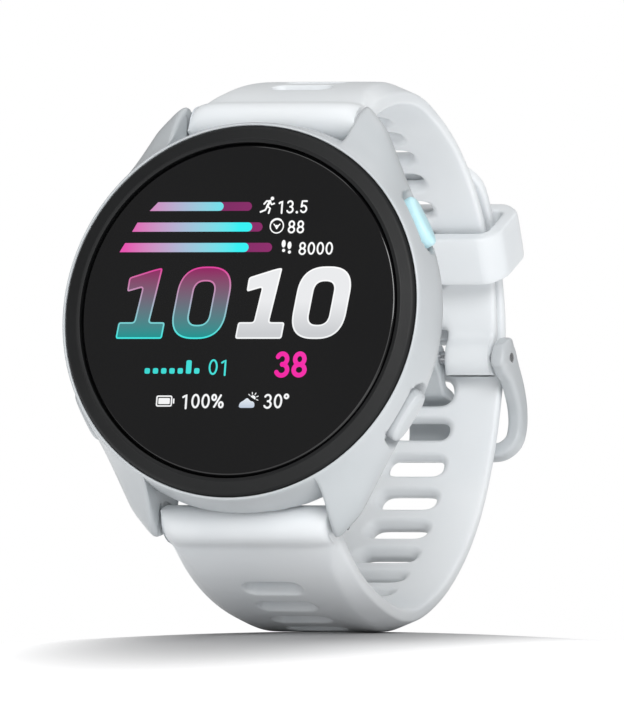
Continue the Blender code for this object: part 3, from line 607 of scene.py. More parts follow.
def makeStrap(name, facts, body, replaced):
    # The strap as a slab of rows along it and columns across it. Each row has a half width, a thickness
    # and the half width of the flat outer band; the outer face falls from that band to low side walls. A
    # slot takes the place of a block of the slab: rings of round-ended outlines join the block's edge on
    # the outer face to its edge on the wrist's face. At the ends the thickness follows a circle.
    lengths, line, normals, total = strapLine(facts["line"])
    cell, pitch = strapSection["cellHalf"], facts["slotPitch"]
    if "firstSlot" in facts:
        slots = facts["firstSlot"] + pitch * np.arange(facts["slots"])
    else:
        behind = (line[:, 0] > 50) & (lengths > 0) & (lengths < total)
        crossing = np.interp(facts["tongueCrossing"], line[behind, 1], lengths[behind])
        slots = crossing + pitch * np.arange(-facts["slotsBefore"], facts["slotsAfter"] + 1)
        facts = facts | {"filledSlot": crossing}
    barrel = strapSection["barrelRadius"]
    roundEnd = np.sin(np.radians([90, 76, 62, 47, 31, 15]))
    firstCell, lastCell = slots[0] - pitch / 2, slots[-1] + pitch / 2
    rowsAt = [-barrel * roundEnd, np.array([0.0, 0.8, 1.5, 2.1, 2.8, 3.6]), np.linspace(4.4, firstCell - 0.8, 3)]
    for place in slots:
        rowsAt.append(place + np.array([-pitch / 2, -0.8, 0.8]))
    rowsAt.append([lastCell])
    tip = facts.get("tipLength")
    if tip:
        tipRound = strapSection["tipRound"]
        rowsAt.append(total - np.array([3.8, 3.0, 2.3, 1.7, 1.3]))
        rowsAt.append(total - tipRound + tipRound * roundEnd[::-1])
    else:
        fold, notch = facts["foldRadius"], total - facts["notchReach"]
        rowsAt.append([notch, notch + 0.35, total - 1.9, total - 1.2, total - 0.6, total])
        rowsAt.append(total + fold * roundEnd[::-1])
    rows = np.concatenate([np.ravel(part) for part in rowsAt])
    rows = rows[np.concatenate([[True], np.diff(rows) > 0.12])]
    share = np.clip(rows / total, 0, 1)
    half, thick = (np.interp(share, *strapSection[key]) for key in ("halfAt", "thickAt"))
    band = half * (0.86 - 0.22 * np.clip(share * 2.5, 0, 1))
    band = np.where(rows < 6, np.interp(rows, [1.5, 6], [0.955, 0.80]) * half, band)
    narrowing = np.ones(len(rows))
    swell = np.sqrt(np.clip(barrel**2 - rows**2, 0, None))
    swell = np.where(rows < 0, swell, np.maximum(swell, thick / 2))
    if tip:
        left = np.clip((total - rows) / tip, 0, 1)
        narrowing = 0.35 + 0.65 * np.sqrt(1 - (1 - left) ** 2)
        ending = np.clip((rows - total + tipRound) / tipRound, 0, 1)
        swell = np.where(rows > total - tip, thick / 2 * np.sqrt(1 - ending**2), swell)
    else:
        past = rows - total
        roundFold = np.sqrt(np.clip(fold**2 - past**2, 0, None))
        swell = np.where(past > 0, roundFold, np.where(past > -fold, np.maximum(roundFold, swell), swell))
        band = np.where(past > -4, np.interp(past, [-4, -1.6], [0.64, 0.955]) * half, band)
    one = np.ones(len(rows))
    inside = [0.75 * one, 2.2 * one, 3.2 * one, cell * one]
    outer = np.stack(inside + [band - 0.16, band + 0.3, half - 0.42, half - 0.08], 1)
    wrist = np.stack(inside + [band - 0.16, band + 0.3, half - 0.5, half - 0.13], 1)
    drop = np.clip((outer - band[:, None]) / (half - band)[:, None], 0, 1)
    outerRise = thick[:, None] * (1 - 0.45 * drop)
    wristRise = np.zeros_like(wrist)
    wristRise[:, -1] = 0.13

    def mirrored(values, sign):
        return np.concatenate([sign * values[:, ::-1], values], 1)

    outerAcross, wristAcross = mirrored(outer, -1), mirrored(wrist, -1)
    outerRise, wristRise = mirrored(outerRise, 1), mirrored(wristRise, 1)
    columns = outerAcross.shape[1]
    count = len(rows)
    sideRises = np.stack([thick * 0.55 - 0.22, 0.42 * one], 1)
    blocks = [(outerAcross, outerRise), (wristAcross, wristRise), (np.stack([half, half], 1), sideRises),
              (-np.stack([half, half], 1), sideRises)]
    across = np.concatenate([(block * narrowing[:, None]).ravel() for block, _ in blocks])
    rise = np.concatenate([(block / thick[:, None]).ravel() for _, block in blocks])
    row = np.concatenate([np.repeat(rows, block.shape[1]) for block, _ in blocks])
    outerIndex = np.arange(count * columns).reshape(count, columns)
    wristIndex = outerIndex + count * columns
    rightIndex = np.arange(count * 2).reshape(count, 2) + 2 * count * columns
    leftIndex = rightIndex + 2 * count
    keep = np.ones((count - 1, columns - 1), bool)
    firstColumn, lastColumn = columns // 2 - 4, columns // 2 + 3
    slotRows = np.array([np.argmin(np.abs(rows - (place - pitch / 2))) for place in slots])
    for start in slotRows:
        keep[start:start + 3, firstColumn:lastColumn] = False
    extraFaces = []
    if not tip:
        notchRow = int(np.argmin(np.abs(rows - notch)))
        notchFirst, notchLast = columns // 2 - 3, columns // 2 + 2
        keep[notchRow:, notchFirst:notchLast] = False
        edge = np.arange(notchRow, count)
        for column in (notchFirst, notchLast):
            extraFaces.append(wallQuads(outerIndex[edge, column], wristIndex[edge, column]))
        back = (notchRow, slice(notchFirst, notchLast + 1))
        extraFaces.append(wallQuads(outerIndex[back], wristIndex[back]))
    sheetFaces = []
    for index in (outerIndex, wristIndex):
        sheetFaces.append(quadsBetween(index)[keep])
    for edgeIndex, column in ((rightIndex, columns - 1), (leftIndex, 0)):
        strip = np.column_stack([outerIndex[:, column], edgeIndex, wristIndex[:, column]])
        sheetFaces.append(quadsBetween(strip).reshape(-1, 4))

    # rings of each slot, from the outer face to the wrist's face: (longer by, wider by, share of the thickness)
    ringFacts = [(0.34, 0.26, 1.0), (0.22, 0.15, 0.97), (0.1, 0.04, 0.88), (0.0, -0.12, 0.7), (0.0, -0.22, 0.5),
                 (0.12, -0.02, 0.3), (0.45, 0.2, 0.11), (0.8, 0.42, 0.025), (1.0, 0.56, 0.0)]
    rowSteps = np.concatenate([np.zeros(7, int), np.arange(3), np.full(7, 3), np.arange(3, 0, -1)])
    columnSteps = np.concatenate([np.arange(7), np.full(3, 7), np.arange(7, 0, -1), np.zeros(3, int)])
    edgeRows = slotRows[:, None] + rowSteps
    edgeColumns = firstColumn + columnSteps[None, :]
    topEdge, bottomEdge = outerIndex[edgeRows, edgeColumns], wristIndex[edgeRows, edgeColumns]
    edgeAcross, edgeAlong = outerAcross[edgeRows, edgeColumns], rows[edgeRows] - slots[:, None]
    ringIndex = [topEdge]
    nextIndex = len(row)
    moreAcross, moreRow, moreRise = [], [], []
    filled = np.abs(slots - facts.get("filledSlot", -99)) < 0.1
    for longer, wider, level in ringFacts:
        # the slot that the prong fills is a little wider, so that the prong can swing in it
        room = np.where(filled, max(wider, 0) + strapSection["prongRoom"], wider)
        end = strapSection["slotWidth"] / 2 + room[:, None]
        core = strapSection["slotLength"] / 2 + longer - end
        middle = np.clip(edgeAcross, -core, core)
        away = np.stack([edgeAcross - middle, edgeAlong], -1)
        away /= np.linalg.norm(away, axis=-1, keepdims=True)
        moreAcross.append((middle + end * away[..., 0]).ravel())
        moreRow.append((slots[:, None] + end * away[..., 1]).ravel())
        moreRise.append(np.full(edgeAcross.size, level))
        ringIndex.append(nextIndex + np.arange(edgeAcross.size).reshape(edgeAcross.shape))
        nextIndex += edgeAcross.size
    ringIndex.append(bottomEdge)
    for upperRing, lowerRing in zip(ringIndex, ringIndex[1:]):
        quads = np.stack([
            upperRing, np.roll(upperRing, -1, axis=1), np.roll(lowerRing, -1, axis=1), lowerRing
        ], -1)
        sheetFaces.append(quads.reshape(-1, 4))
    across = np.concatenate([across, *moreAcross])
    row = np.concatenate([row, *moreRow])
    rise = np.concatenate([rise, *moreRise])
    place = np.column_stack([np.interp(row, lengths, line[:, k]) for k in (0, 1)])
    out = np.column_stack([np.interp(row, lengths, normals[:, k]) for k in (0, 1)])
    out /= np.linalg.norm(out, axis=1)[:, None]
    reach = np.interp(row, rows, swell)[:, None]
    side = place + out * (rise[:, None] - 0.5) * 2 * reach
    points = np.column_stack([across, side])
    faces = np.concatenate(sheetFaces + extraFaces)
    return newPiece(
        name, points, faces, whiteSilicone, body, "white_silicone", replaced, subdivisions=2
    )


makeStrap("strap_long_half", lowerStrap, "lower_strap", ["strap_lower"])
makeStrap("strap_short_half", upperStrap, "upper_strap", ["strap_upper"])
print("strap halves made")

# keeper

keeperFacts = {
    "centre": (51.3, 17.1),
    "lean": 34.0,
    "halfBand": 2.8,
    "outer": [(-11.4, -3.0), (-9.8, -5.2), (9.8, -5.2), (11.4, -3.0), (11.4, 3.1), (9.2, 5.4), (-9.2, 5.4),
              (-11.4, 3.1)],
    "inner": [(-9.6, -2.4), (-9.1, -3.05), (9.1, -3.05), (9.6, -2.4), (9.6, 2.6), (8.9, 3.2), (-8.9, 3.2),
              (-9.6, 2.6)],
}


def makeKeeper():
    # a closed section of (share of the way from the inner outline to the outer one, distance along the strap)
    # carried round the two outlines
    outer, inner = (rounded(keeperFacts[key], cut, 7, closed=True) for key, cut in (("outer", 1.0), ("inner", 0.5)))
    halfBand = keeperFacts["halfBand"]
    section = np.array([
        (0.0, -halfBand + 0.35), (0.07, -halfBand + 0.05), (0.25, -halfBand), (0.8, -halfBand),
        (0.94, -halfBand + 0.07), (1.0, -halfBand + 0.36), (1.0, 0.0), (1.0, halfBand - 0.36),
        (0.94, halfBand - 0.07), (0.8, halfBand), (0.25, halfBand), (0.07, halfBand - 0.05), (0.0, halfBand - 0.35),
    ])
    share, along = section[None, :, :1], section[None, :, 1]
    flat = inner[:, None] * (1 - share) + outer[:, None] * share
    lean = math.radians(keeperFacts["lean"])
    # across the straps is the second outline axis, along them the section's own
    alongWay = np.array([-math.sin(lean), math.cos(lean)])
    throughWay = np.array([math.cos(lean), math.sin(lean)])
    centre = np.array(keeperFacts["centre"])
    side = centre + along[..., None] * alongWay + flat[..., 1:] * throughWay
    points = np.concatenate([flat[..., :1], side], -1)
    return gridPiece(
        "strap_keeper", points, True, True, whiteSilicone, "keeper", "white_silicone", ["keeper"], subdivisions=1
    )


makeKeeper()

# buckle

buckle = {
    "pin": (53.3, 4.6),
    "squareness": 3.6,
    # half of the frame's centreline: across, depth, height, the arm's normal (depth, height), width, thickness
    "frame": [
        (10.35, 51.5, 5.85, 0.57, 0.82, 0.0, 1.2),
        (10.38, 52.0, 5.5, 0.57, 0.82, 3.2, 1.75),
        (10.4, 53.3, 4.6, 0.57, 0.82, 4.3, 1.8),
        (10.4, 55.2, 3.3, 0.6, 0.8, 3.3, 1.8),
        (10.4, 57.2, 1.5, 0.76, 0.65, 2.9, 1.8),
        (10.4, 58.5, -0.5, 0.94, 0.34, 2.6, 1.8),
        (10.4, 58.8, -2.4, 0.999, 0.0, 2.3, 1.8),
        (10.1, 58.65, -4.0, 0.985, -0.17, 2.1, 1.8),
        (9.1, 58.4, -5.0, 0.975, -0.22, 2.0, 1.85),
        (7.4, 58.35, -5.27, 0.975, -0.22, 1.95, 1.9),
        (3.7, 58.35, -5.3, 0.975, -0.22, 1.95, 1.9),
        (0.0, 58.35, -5.3, 0.975, -0.22, 1.95, 1.9),
    ],
    "tongue": [
        (51.8, 5.4), (52.6, 6.2), (54.0, 6.2), (54.9, 5.2), (54.9, 3.6), (55.6, 2.0), (58.2, 1.6), (59.7, 0.2),
        (60.4, -2.8), (60.2, -5.8), (59.2, -5.8), (59.2, -3.2), (58.7, -0.7), (57.9, 0.4), (55.0, 0.7),
        (53.2, 2.8), (52.0, 3.4),
    ],
    "tongueHalf": 2.8,
}


def makeBuckleFrame():
    # A rounded bar carried along the frame's centreline. The section is a superellipse: its width lies
    # along the arm's normal and its thickness square to that and to the way along the line.
    half = np.array(buckle["frame"])
    flip = np.array([-1.0, 1, 1, 1, 1, 1, 1])
    table = np.concatenate([half, (half * flip)[::-1][1:]])
    reach = np.concatenate([[0], np.cumsum(np.linalg.norm(np.diff(table[:, :3], axis=0), axis=1))])
    even = np.linspace(0, reach[-1], 150)
    # a Catmull-Rom curve: each stretch is a cubic whose end slopes come from the points either side
    slopes = np.gradient(table, reach, axis=0)
    i = np.clip(np.searchsorted(reach, even) - 1, 0, len(reach) - 2)
    span = (reach[i + 1] - reach[i])[:, None]
    t = (even[:, None] - reach[i][:, None]) / span
    line = (
        (2 * t**3 - 3 * t**2 + 1) * table[i] + (t**3 - 2 * t**2 + t) * span * slopes[i]
        + (3 * t**2 - 2 * t**3) * table[i + 1] + (t**3 - t**2) * span * slopes[i + 1]
    )
    centre, width, thickness = line[:, :3], np.clip(line[:, 5], 0.02, None), line[:, 6]
    wide = np.column_stack([np.zeros(len(line)), line[:, 3:5]])
    wide /= np.linalg.norm(wide, axis=1)[:, None]
    along = np.gradient(centre, axis=0)
    thin = np.cross(along, wide)
    thin /= np.linalg.norm(thin, axis=1)[:, None]
    turn = np.linspace(0, 2 * math.pi, 28, endpoint=False)
    a, b = superellipse(turn, buckle["squareness"])
    points = (
        centre[:, None] + wide[:, None] * (a[None, :] * width[:, None] / 2)[..., None]
        + thin[:, None] * (b[None, :] * thickness[:, None] / 2)[..., None]
    )
    return cappedPiece(
        "buckle_loop", points, whitePolymer, "buckle", "white_polymer", ["buckle_frame"], subdivisions=1
    )


def makePlate(name, outline, half, edge, *facts, **options):
    # A flat outline in (depth, height) carried across the watch, its edges eased by a quarter circle:
    # near each face the outline is drawn in along its normals by 1 - cos while it steps out by sin.
    outline = np.array(outline)
    along = np.roll(outline, -1, axis=0) - np.roll(outline, 1, axis=0)
    normal = np.column_stack([along[:, 1], -along[:, 0]])
    normal /= np.linalg.norm(normal, axis=1)[:, None]
    area = np.sum(outline[:, 0] * np.roll(outline[:, 1], -1) - np.roll(outline[:, 0], -1) * outline[:, 1])
    normal *= np.sign(area)
    ease = np.radians(np.array([90, 67.5, 45, 22.5, 0]))
    inset = edge * (1 - np.cos(ease))
    stepIn = edge * (1 - np.sin(ease))
    insets = np.concatenate([inset, inset[::-1]])
    acrosses = np.concatenate([-(half - stepIn), (half - stepIn)[::-1]])
    rings = outline[None] - normal[None] * insets[:, None, None]
    points = np.concatenate([np.broadcast_to(acrosses[:, None, None], (*rings.shape[:2], 1)), rings], -1)
    return cappedPiece(name, points, *facts, **options)


makeBuckleFrame()
tongueOutline = rounded(buckle["tongue"], 0.55, 6, closed=True)
makePlate(
    "buckle_prong", tongueOutline, buckle["tongueHalf"], 0.35, whitePolymer, "tongue", "white_polymer",
    ["buckle_tongue"], sharpAngle=50,
)


def makeBar(name, outline, depth, height, sides, *facts, **options):
    # (radius, across) points carried round a bar that lies across the watch
    outline = rounded(outline, 0.12, 5)
    turn = np.linspace(0, 2 * math.pi, sides, endpoint=False)[:, None]
    radius, across = outline[None, :, 0], outline[None, :, 1]
    points = np.stack([across + 0 * turn, depth + radius * np.cos(turn), height + radius * np.sin(turn)], -1)
    return gridPiece(name, points, True, False, *facts, **options)


pinOutline = [(0, -11.36), (0.55, -11.36), (0.75, -11.22), (0.75, 11.22), (0.55, 11.36), (0, 11.36)]
makeBar("buckle_axle", pinOutline, *buckle["pin"], 40, turnedSteel, "buckle", "steel", ["buckle_pin"], sharpAngle=50)
print("keeper and buckle made")

# back of the case

rear = {
    "screwCircle": 15.4,
    "contactHeight": -13.0,
    "contactPitch": 2.4,
    "wellDepth": 0.5,
}


def rearPlaces():
    # (across, height, well radius) of the four screws and the four contacts
    corners = np.radians(45 + 90 * np.arange(4))
    screws = [(rear["screwCircle"] * math.cos(a), rear["screwCircle"] * math.sin(a), 1.0) for a in corners]
    contacts = [(rear["contactPitch"] * (k - 1.5), rear["contactHeight"], 0.85) for k in range(4)]
    return screws, contacts


def makeRearCover():
    # a turned dish, its back face sunk by a smooth step inside each well
    radii = np.concatenate([np.arange(18.7, 11.2, -0.16), np.arange(11.1, 9.6, -0.4)])
    back = np.interp(radii, [9.6, 16.5, 18.7], [10.6, 10.3, 9.78])
    profile = np.concatenate([
        [(8.0, 9.05), (18.9, 9.05), (18.9, 9.62)], np.column_stack([radii, back]),
        [(9.6, 10.58), (9.6, 10.0), (8.0, 10.0)],
    ])
    points = turnedGrid(profile, 420)
    screws, contacts = rearPlaces()
    outerFace = points[..., 1] > 9.7
    for across, height, radius in screws + contacts:
        away = np.hypot(points[..., 0] - across, points[..., 2] - height)
        points[..., 1] -= outerFace * rear["wellDepth"] * (1 - smoothStep(away, radius - 0.12, radius + 0.12))
    gridPiece("rear_dish", points, True, True, whitePolymer, "case", "white_polymer", ["rear_cover"], sharpAngle=50)
    return screws, contacts


def makeTurnedButton(name, profile, across, height, sides, *facts, recess=None, **options):
    # a small turned piece facing the wrist; a recess sinks the points inside a six-lobed outline
    points = turnedGrid(profile, sides)
    if recess:
        away = np.hypot(points[..., 0], points[..., 2])
        lobes = 0.4 + 0.07 * np.cos(6 * np.arctan2(points[..., 2], points[..., 0]))
        face = points[..., 1] > profile[:, 1].max() - 0.05
        points[..., 1] -= face * recess * (1 - smoothStep(away / lobes, 0.86, 1.0))
    return gridPiece(name, points + np.array([across, 0, height]), True, False, *facts, **options)


screwPlaces, contactPlaces = makeRearCover()
headRadii = np.linspace(0.72, 0, 22)
screwProfile = np.concatenate([
    [(0, 7.4), (0.6, 7.4), (0.6, 9.3), (0.85, 9.4), (0.85, 10.0), (0.8, 10.07)],
    np.column_stack([headRadii, np.full(22, 10.1)]),
])
contactProfile = rounded([(0, 8.5), (0.65, 8.5), (0.65, 10.28), (0.35, 10.4), (0, 10.42)], 0.12, 5)
for number, (across, height, _) in enumerate(screwPlaces):
    makeTurnedButton(
        f"rear_screw_head_{number + 1}", screwProfile, across, height, 72, turnedSteel, "case", "steel",
        recess=0.3, replaced=[f"rear_screw_{number + 1}"], sharpAngle=50,
    )
for number, (across, height, _) in enumerate(contactPlaces):
    makeTurnedButton(
        f"contact_pad_{number + 1}", contactProfile, across, height, 36, goldPlate, "case", "gold_plate",
        replaced=[f"charge_contact_{number + 1}"], sharpAngle=50,
    )
windowProfile = rounded(
    [(0, 9.1), (7.7, 9.1), (7.7, 10.15), (9.3, 10.15), (9.3, 10.9), (7.4, 11.6), (0, 11.6)], 0.5, 7
)
turnedPiece(
    "pulse_window", windowProfile, 160, sensorGlass, "case", "sensor_glass", ["sensor_window"], closed=False,
    sharpAngle=40,
)
print("back made")

# what the screen shows

screen = {
    "depth": 0.175,
    "thickness": 0.03,
    "timePlaces": [(-14.35, -3.2), (-0.15, -3.2)],
    "lean": 0.131,
    "one": [(0, 0), (5.5, 0), (5.5, 1.85), (3.65, 1.85), (4.0, 7.95), (3.1, 7.75), (0.25, 6.85), (0.3, 5.25),
            (2.05, 5.75), (1.85, 1.85), (0, 1.85)],
    "zero": [(6.27, -0.02), (12.57, -0.02), (12.57, 8.07), (6.27, 8.07)],
    "zeroHole": [(8.2, 1.55), (10.63, 1.55), (10.63, 6.42), (8.2, 6.42)],
    "rim": 0.17,
    # left end at the foot and at the top, right end, end of the lit part, foot, top
    "bars": [(-11.34, -10.4, 0.75, -2.6, 11.11, 12.09), (-13.26, -12.7, 2.18, 0.96, 8.79, 9.81),
             (-14.59, -14.0, 3.48, 0.71, 6.5, 7.52)],
}


def offsetOutline(outline, distance):
    # the outline moved outwards along its normals; a corner moves further by one over the cosine of half its turn
    outline = np.array(outline, float)
    back, ahead = outline - np.roll(outline, 1, axis=0), np.roll(outline, -1, axis=0) - outline
    back /= np.linalg.norm(back, axis=1)[:, None]
    ahead /= np.linalg.norm(ahead, axis=1)[:, None]
    area = np.sum(outline[:, 0] * np.roll(outline[:, 1], -1) - np.roll(outline[:, 0], -1) * outline[:, 1])
    normals = [np.column_stack([way[:, 1], -way[:, 0]]) * np.sign(area) for way in (back, ahead)]
    middle = normals[0] + normals[1]
    middle /= np.linalg.norm(middle, axis=1)[:, None]
    stretch = np.clip(np.sum(middle * normals[0], axis=1), 0.45, 1)
    return outline + middle * (distance / stretch)[:, None]


def filledShape(outlines):
    # closed outlines in (across, height) filled by a flat curve, the inner ones as holes, with a small thickness
    curve = bpy.data.curves.new("shape", "CURVE")
    curve.dimensions, curve.fill_mode, curve.extrude = "2D", "BOTH", screen["thickness"] / 2
    for outline in outlines:
        spline = curve.splines.new("POLY")
        spline.points.add(len(outline) - 1)
        flat = np.column_stack([outline, np.zeros(len(outline)), np.ones(len(outline))])
        spline.points.foreach_set("co", flat.ravel())
        spline.use_cyclic_u = True
    return meshArrays(curve)


def meshArrays(curve):
    # a curve or a text made a mesh: its points as (across, depth, height), and its faces
    shape = bpy.data.objects.new("shape", curve)
    bpy.context.scene.collection.objects.link(shape)
    bpy.context.view_layer.update()
    mesh = bpy.data.meshes.new_from_object(shape.evaluated_get(bpy.context.evaluated_depsgraph_get()))
    flat = np.empty(len(mesh.vertices) * 3)
    mesh.vertices.foreach_get("co", flat)
    faces = [list(polygon.vertices) for polygon in mesh.polygons]
    bpy.data.objects.remove(shape)
    bpy.data.meshes.remove(mesh)
    flat = flat.reshape(-1, 3)
    return np.column_stack([flat[:, 0], screen["depth"] - flat[:, 2], flat[:, 1]]), faces


def disc(across, height, radius, steps=28):
    # a circle: its centre plus the radius times (cos, sin)
    turn = np.linspace(0, 2 * math.pi, steps, endpoint=False)
    return np.column_stack([across + radius * np.cos(turn), height + radius * np.sin(turn)])


def stroke(points, width):
    # a bent line of even width with round ends: its offset on one side, then back along the other
    points = np.array(points, float)
    along = np.gradient(points, axis=0)
    along /= np.linalg.norm(along, axis=1)[:, None]
    normal = np.column_stack([-along[:, 1], along[:, 0]])
    cap = np.radians(np.linspace(-90, 90, 9)[1:-1])[:, None]
    endCap = points[-1] + width / 2 * (along[-1] * np.cos(cap) - normal[-1] * np.sin(cap))
    startCap = points[0] + width / 2 * (-along[0] * np.cos(cap) + normal[0] * np.sin(cap))
    return np.concatenate([points + normal * width / 2, endCap, (points - normal * width / 2)[::-1], startCap])


def box(left, foot, right, top):
    # a rectangle's four corners
    return [(left, foot), (right, foot), (right, top), (left, top)]


def arc(across, height, wide, high, start, end):
    # a stretch of an ellipse from one turn to another, in degrees
    turn = np.radians(np.linspace(start, end, max(6, int(abs(end - start) / 12))))
    return np.column_stack([across + wide * np.cos(turn), height + high * np.sin(turn)])


def figureLines(figure):
    # each figure as lines in a cell one high and 0.74 wide; an ellipse given whole is a closed line
    lines = {
        "0": [arc(0.37, 0.5, 0.235, 0.43, 0, 360)],
        "1": [np.array([(0.19, 0.77), (0.3, 0.84), (0.42, 0.93), (0.42, 0.6), (0.42, 0.3), (0.42, 0.0)])],
        "3": [arc(0.35, 0.71, 0.21, 0.22, 155, -88), arc(0.35, 0.27, 0.24, 0.23, 88, -155)],
        "5": [np.array([(0.6, 0.93), (0.4, 0.93), (0.23, 0.93), (0.2, 0.7), (0.18, 0.5)]),
              arc(0.355, 0.32, 0.235, 0.26, 140, -150)],
        "8": [arc(0.37, 0.71, 0.2, 0.22, 0, 360), arc(0.37, 0.27, 0.235, 0.22, 0, 360)],
        "%": [arc(0.24, 0.75, 0.14, 0.18, 0, 360), arc(0.76, 0.25, 0.14, 0.18, 0, 360),
              np.array([(0.27, 0.1), (0.5, 0.5), (0.73, 0.9)])],
        ".": [arc(0.2, 0.06, 0.03, 0.03, 0, 360)],
        "o": [arc(0.22, 0.83, 0.13, 0.13, 0, 360)],
    }
    wide = {"%": 1.0, ".": 0.38, "o": 0.4}
    return lines[figure], wide.get(figure, 0.74)


def writing(figures, left, foot, height, weight):
    # figures set side by side, each line given its weight: a closed one as a ring, an open one as a stroke
    shapes = []
    for figure in figures:
        lines, wide = figureLines(figure)
        for line in lines:
            line = line * height + (left, foot)
            if np.allclose(line[0], line[-1]):
                outside = offsetOutline(line[:-1], weight / 2)
                inside = offsetOutline(line[:-1], -weight / 2)
                small = np.ptp(line[:, 0]) < weight
                shapes.append(filledShape([outside] if small else [outside, inside]))
            else:
                shapes.append(filledShape([stroke(line, weight)]))
        left += wide * height
    return shapes


def screenPiece(name, shapes, material):
    # several shapes as one piece
    points = np.concatenate([shape[0] for shape in shapes])
    starts = np.cumsum([0] + [len(shape[0]) for shape in shapes[:-1]])
    faces = [[index + start for index in face] for shape, start in zip(shapes, starts) for face in shape[1]]
    return newPiece(name, points, faces, material, "case", "display_glass", sharpAngle=20)


def leaning(outline, place):
    # an outline at its place, moved sideways by the lean times its height
    outline = np.array(outline, float)
    return np.column_stack([place[0] + outline[:, 0] + screen["lean"] * outline[:, 1], place[1] + outline[:, 1]])


def makeTime(name, place, rimMaterial, fillMaterial):
    # each figure is a bright rim and, inside it, a darker filling
    one = rounded(screen["one"], 0.3, 5, closed=True)
    zero = rounded(screen["zero"], 2.9, 14, closed=True)
    hole = rounded(screen["zeroHole"], 1.15, 12, closed=True)
    rim = screen["rim"]
    figures = [[one], [zero, hole]]
    rims, fills = [], []
    for outlines in figures:
        edges = [leaning(outline, place) for outline in outlines]
        inner = [
            leaning(offsetOutline(outline, -rim if k == 0 else rim), place) for k, outline in enumerate(outlines)
        ]
        rims.append(filledShape([edges[0], inner[0]]))
        if len(outlines) > 1:
            rims.append(filledShape([inner[1], edges[1]]))
        fills.append(filledShape(inner))
    screenPiece(f"{name}_rim", rims, rimMaterial)
    screenPiece(f"{name}_filling", fills, fillMaterial)


timeFoot, timeTop = (0, 0, -3.0), (0, 0, 4.6)
makeTime(
    "hours", screen["timePlaces"][0],
    screenLight("screen_rim_teal_to_pink", "#3FE6E0", "#E0409C", timeFoot, timeTop),
    screenLight("screen_fill_teal_to_plum", "#13908E", "#8E1C5E", timeFoot, timeTop),
)
makeTime(
    "minutes", screen["timePlaces"][1],
    screenLight("screen_rim_white", "#F4F6F7", "#FFFFFF", timeFoot, timeTop),
    screenLight("screen_fill_silver", "#C9CBCE", "#E9EAEC", (0, 0, -2.6), (0, 0, 1.0)),
)


def makeBars():
    # each bar slants at its left, and its lit part and its rest both end in a half circle
    lit, rest = [], []
    for leftFoot, leftTop, right, litEnd, foot, top in screen["bars"]:
        radius, middle = (top - foot) / 2, (top + foot) / 2
        cap = np.radians(np.linspace(-90, 90, 13))
        ends = [np.column_stack([end - radius + radius * np.cos(cap), middle + radius * np.sin(cap)])
                for end in (litEnd, right)]
        lit.append(filledShape([np.concatenate([[(leftFoot, foot)], ends[0], [(leftTop, top)]])]))
        rest.append(filledShape([np.concatenate([ends[0][::-1], ends[1]])]))
    screenPiece(
        "bars_lit", lit, screenLight("screen_bar_pink_to_cyan", "#E650AE", "#2FF0F2", (-14.0, 0, 8), (-0.6, 0, 8))
    )
    screenPiece(
        "bars_rest", rest, screenLight("screen_bar_plum", "#7E2160", "#8A2468", (-2, 0, 8), (3, 0, 8))
    )


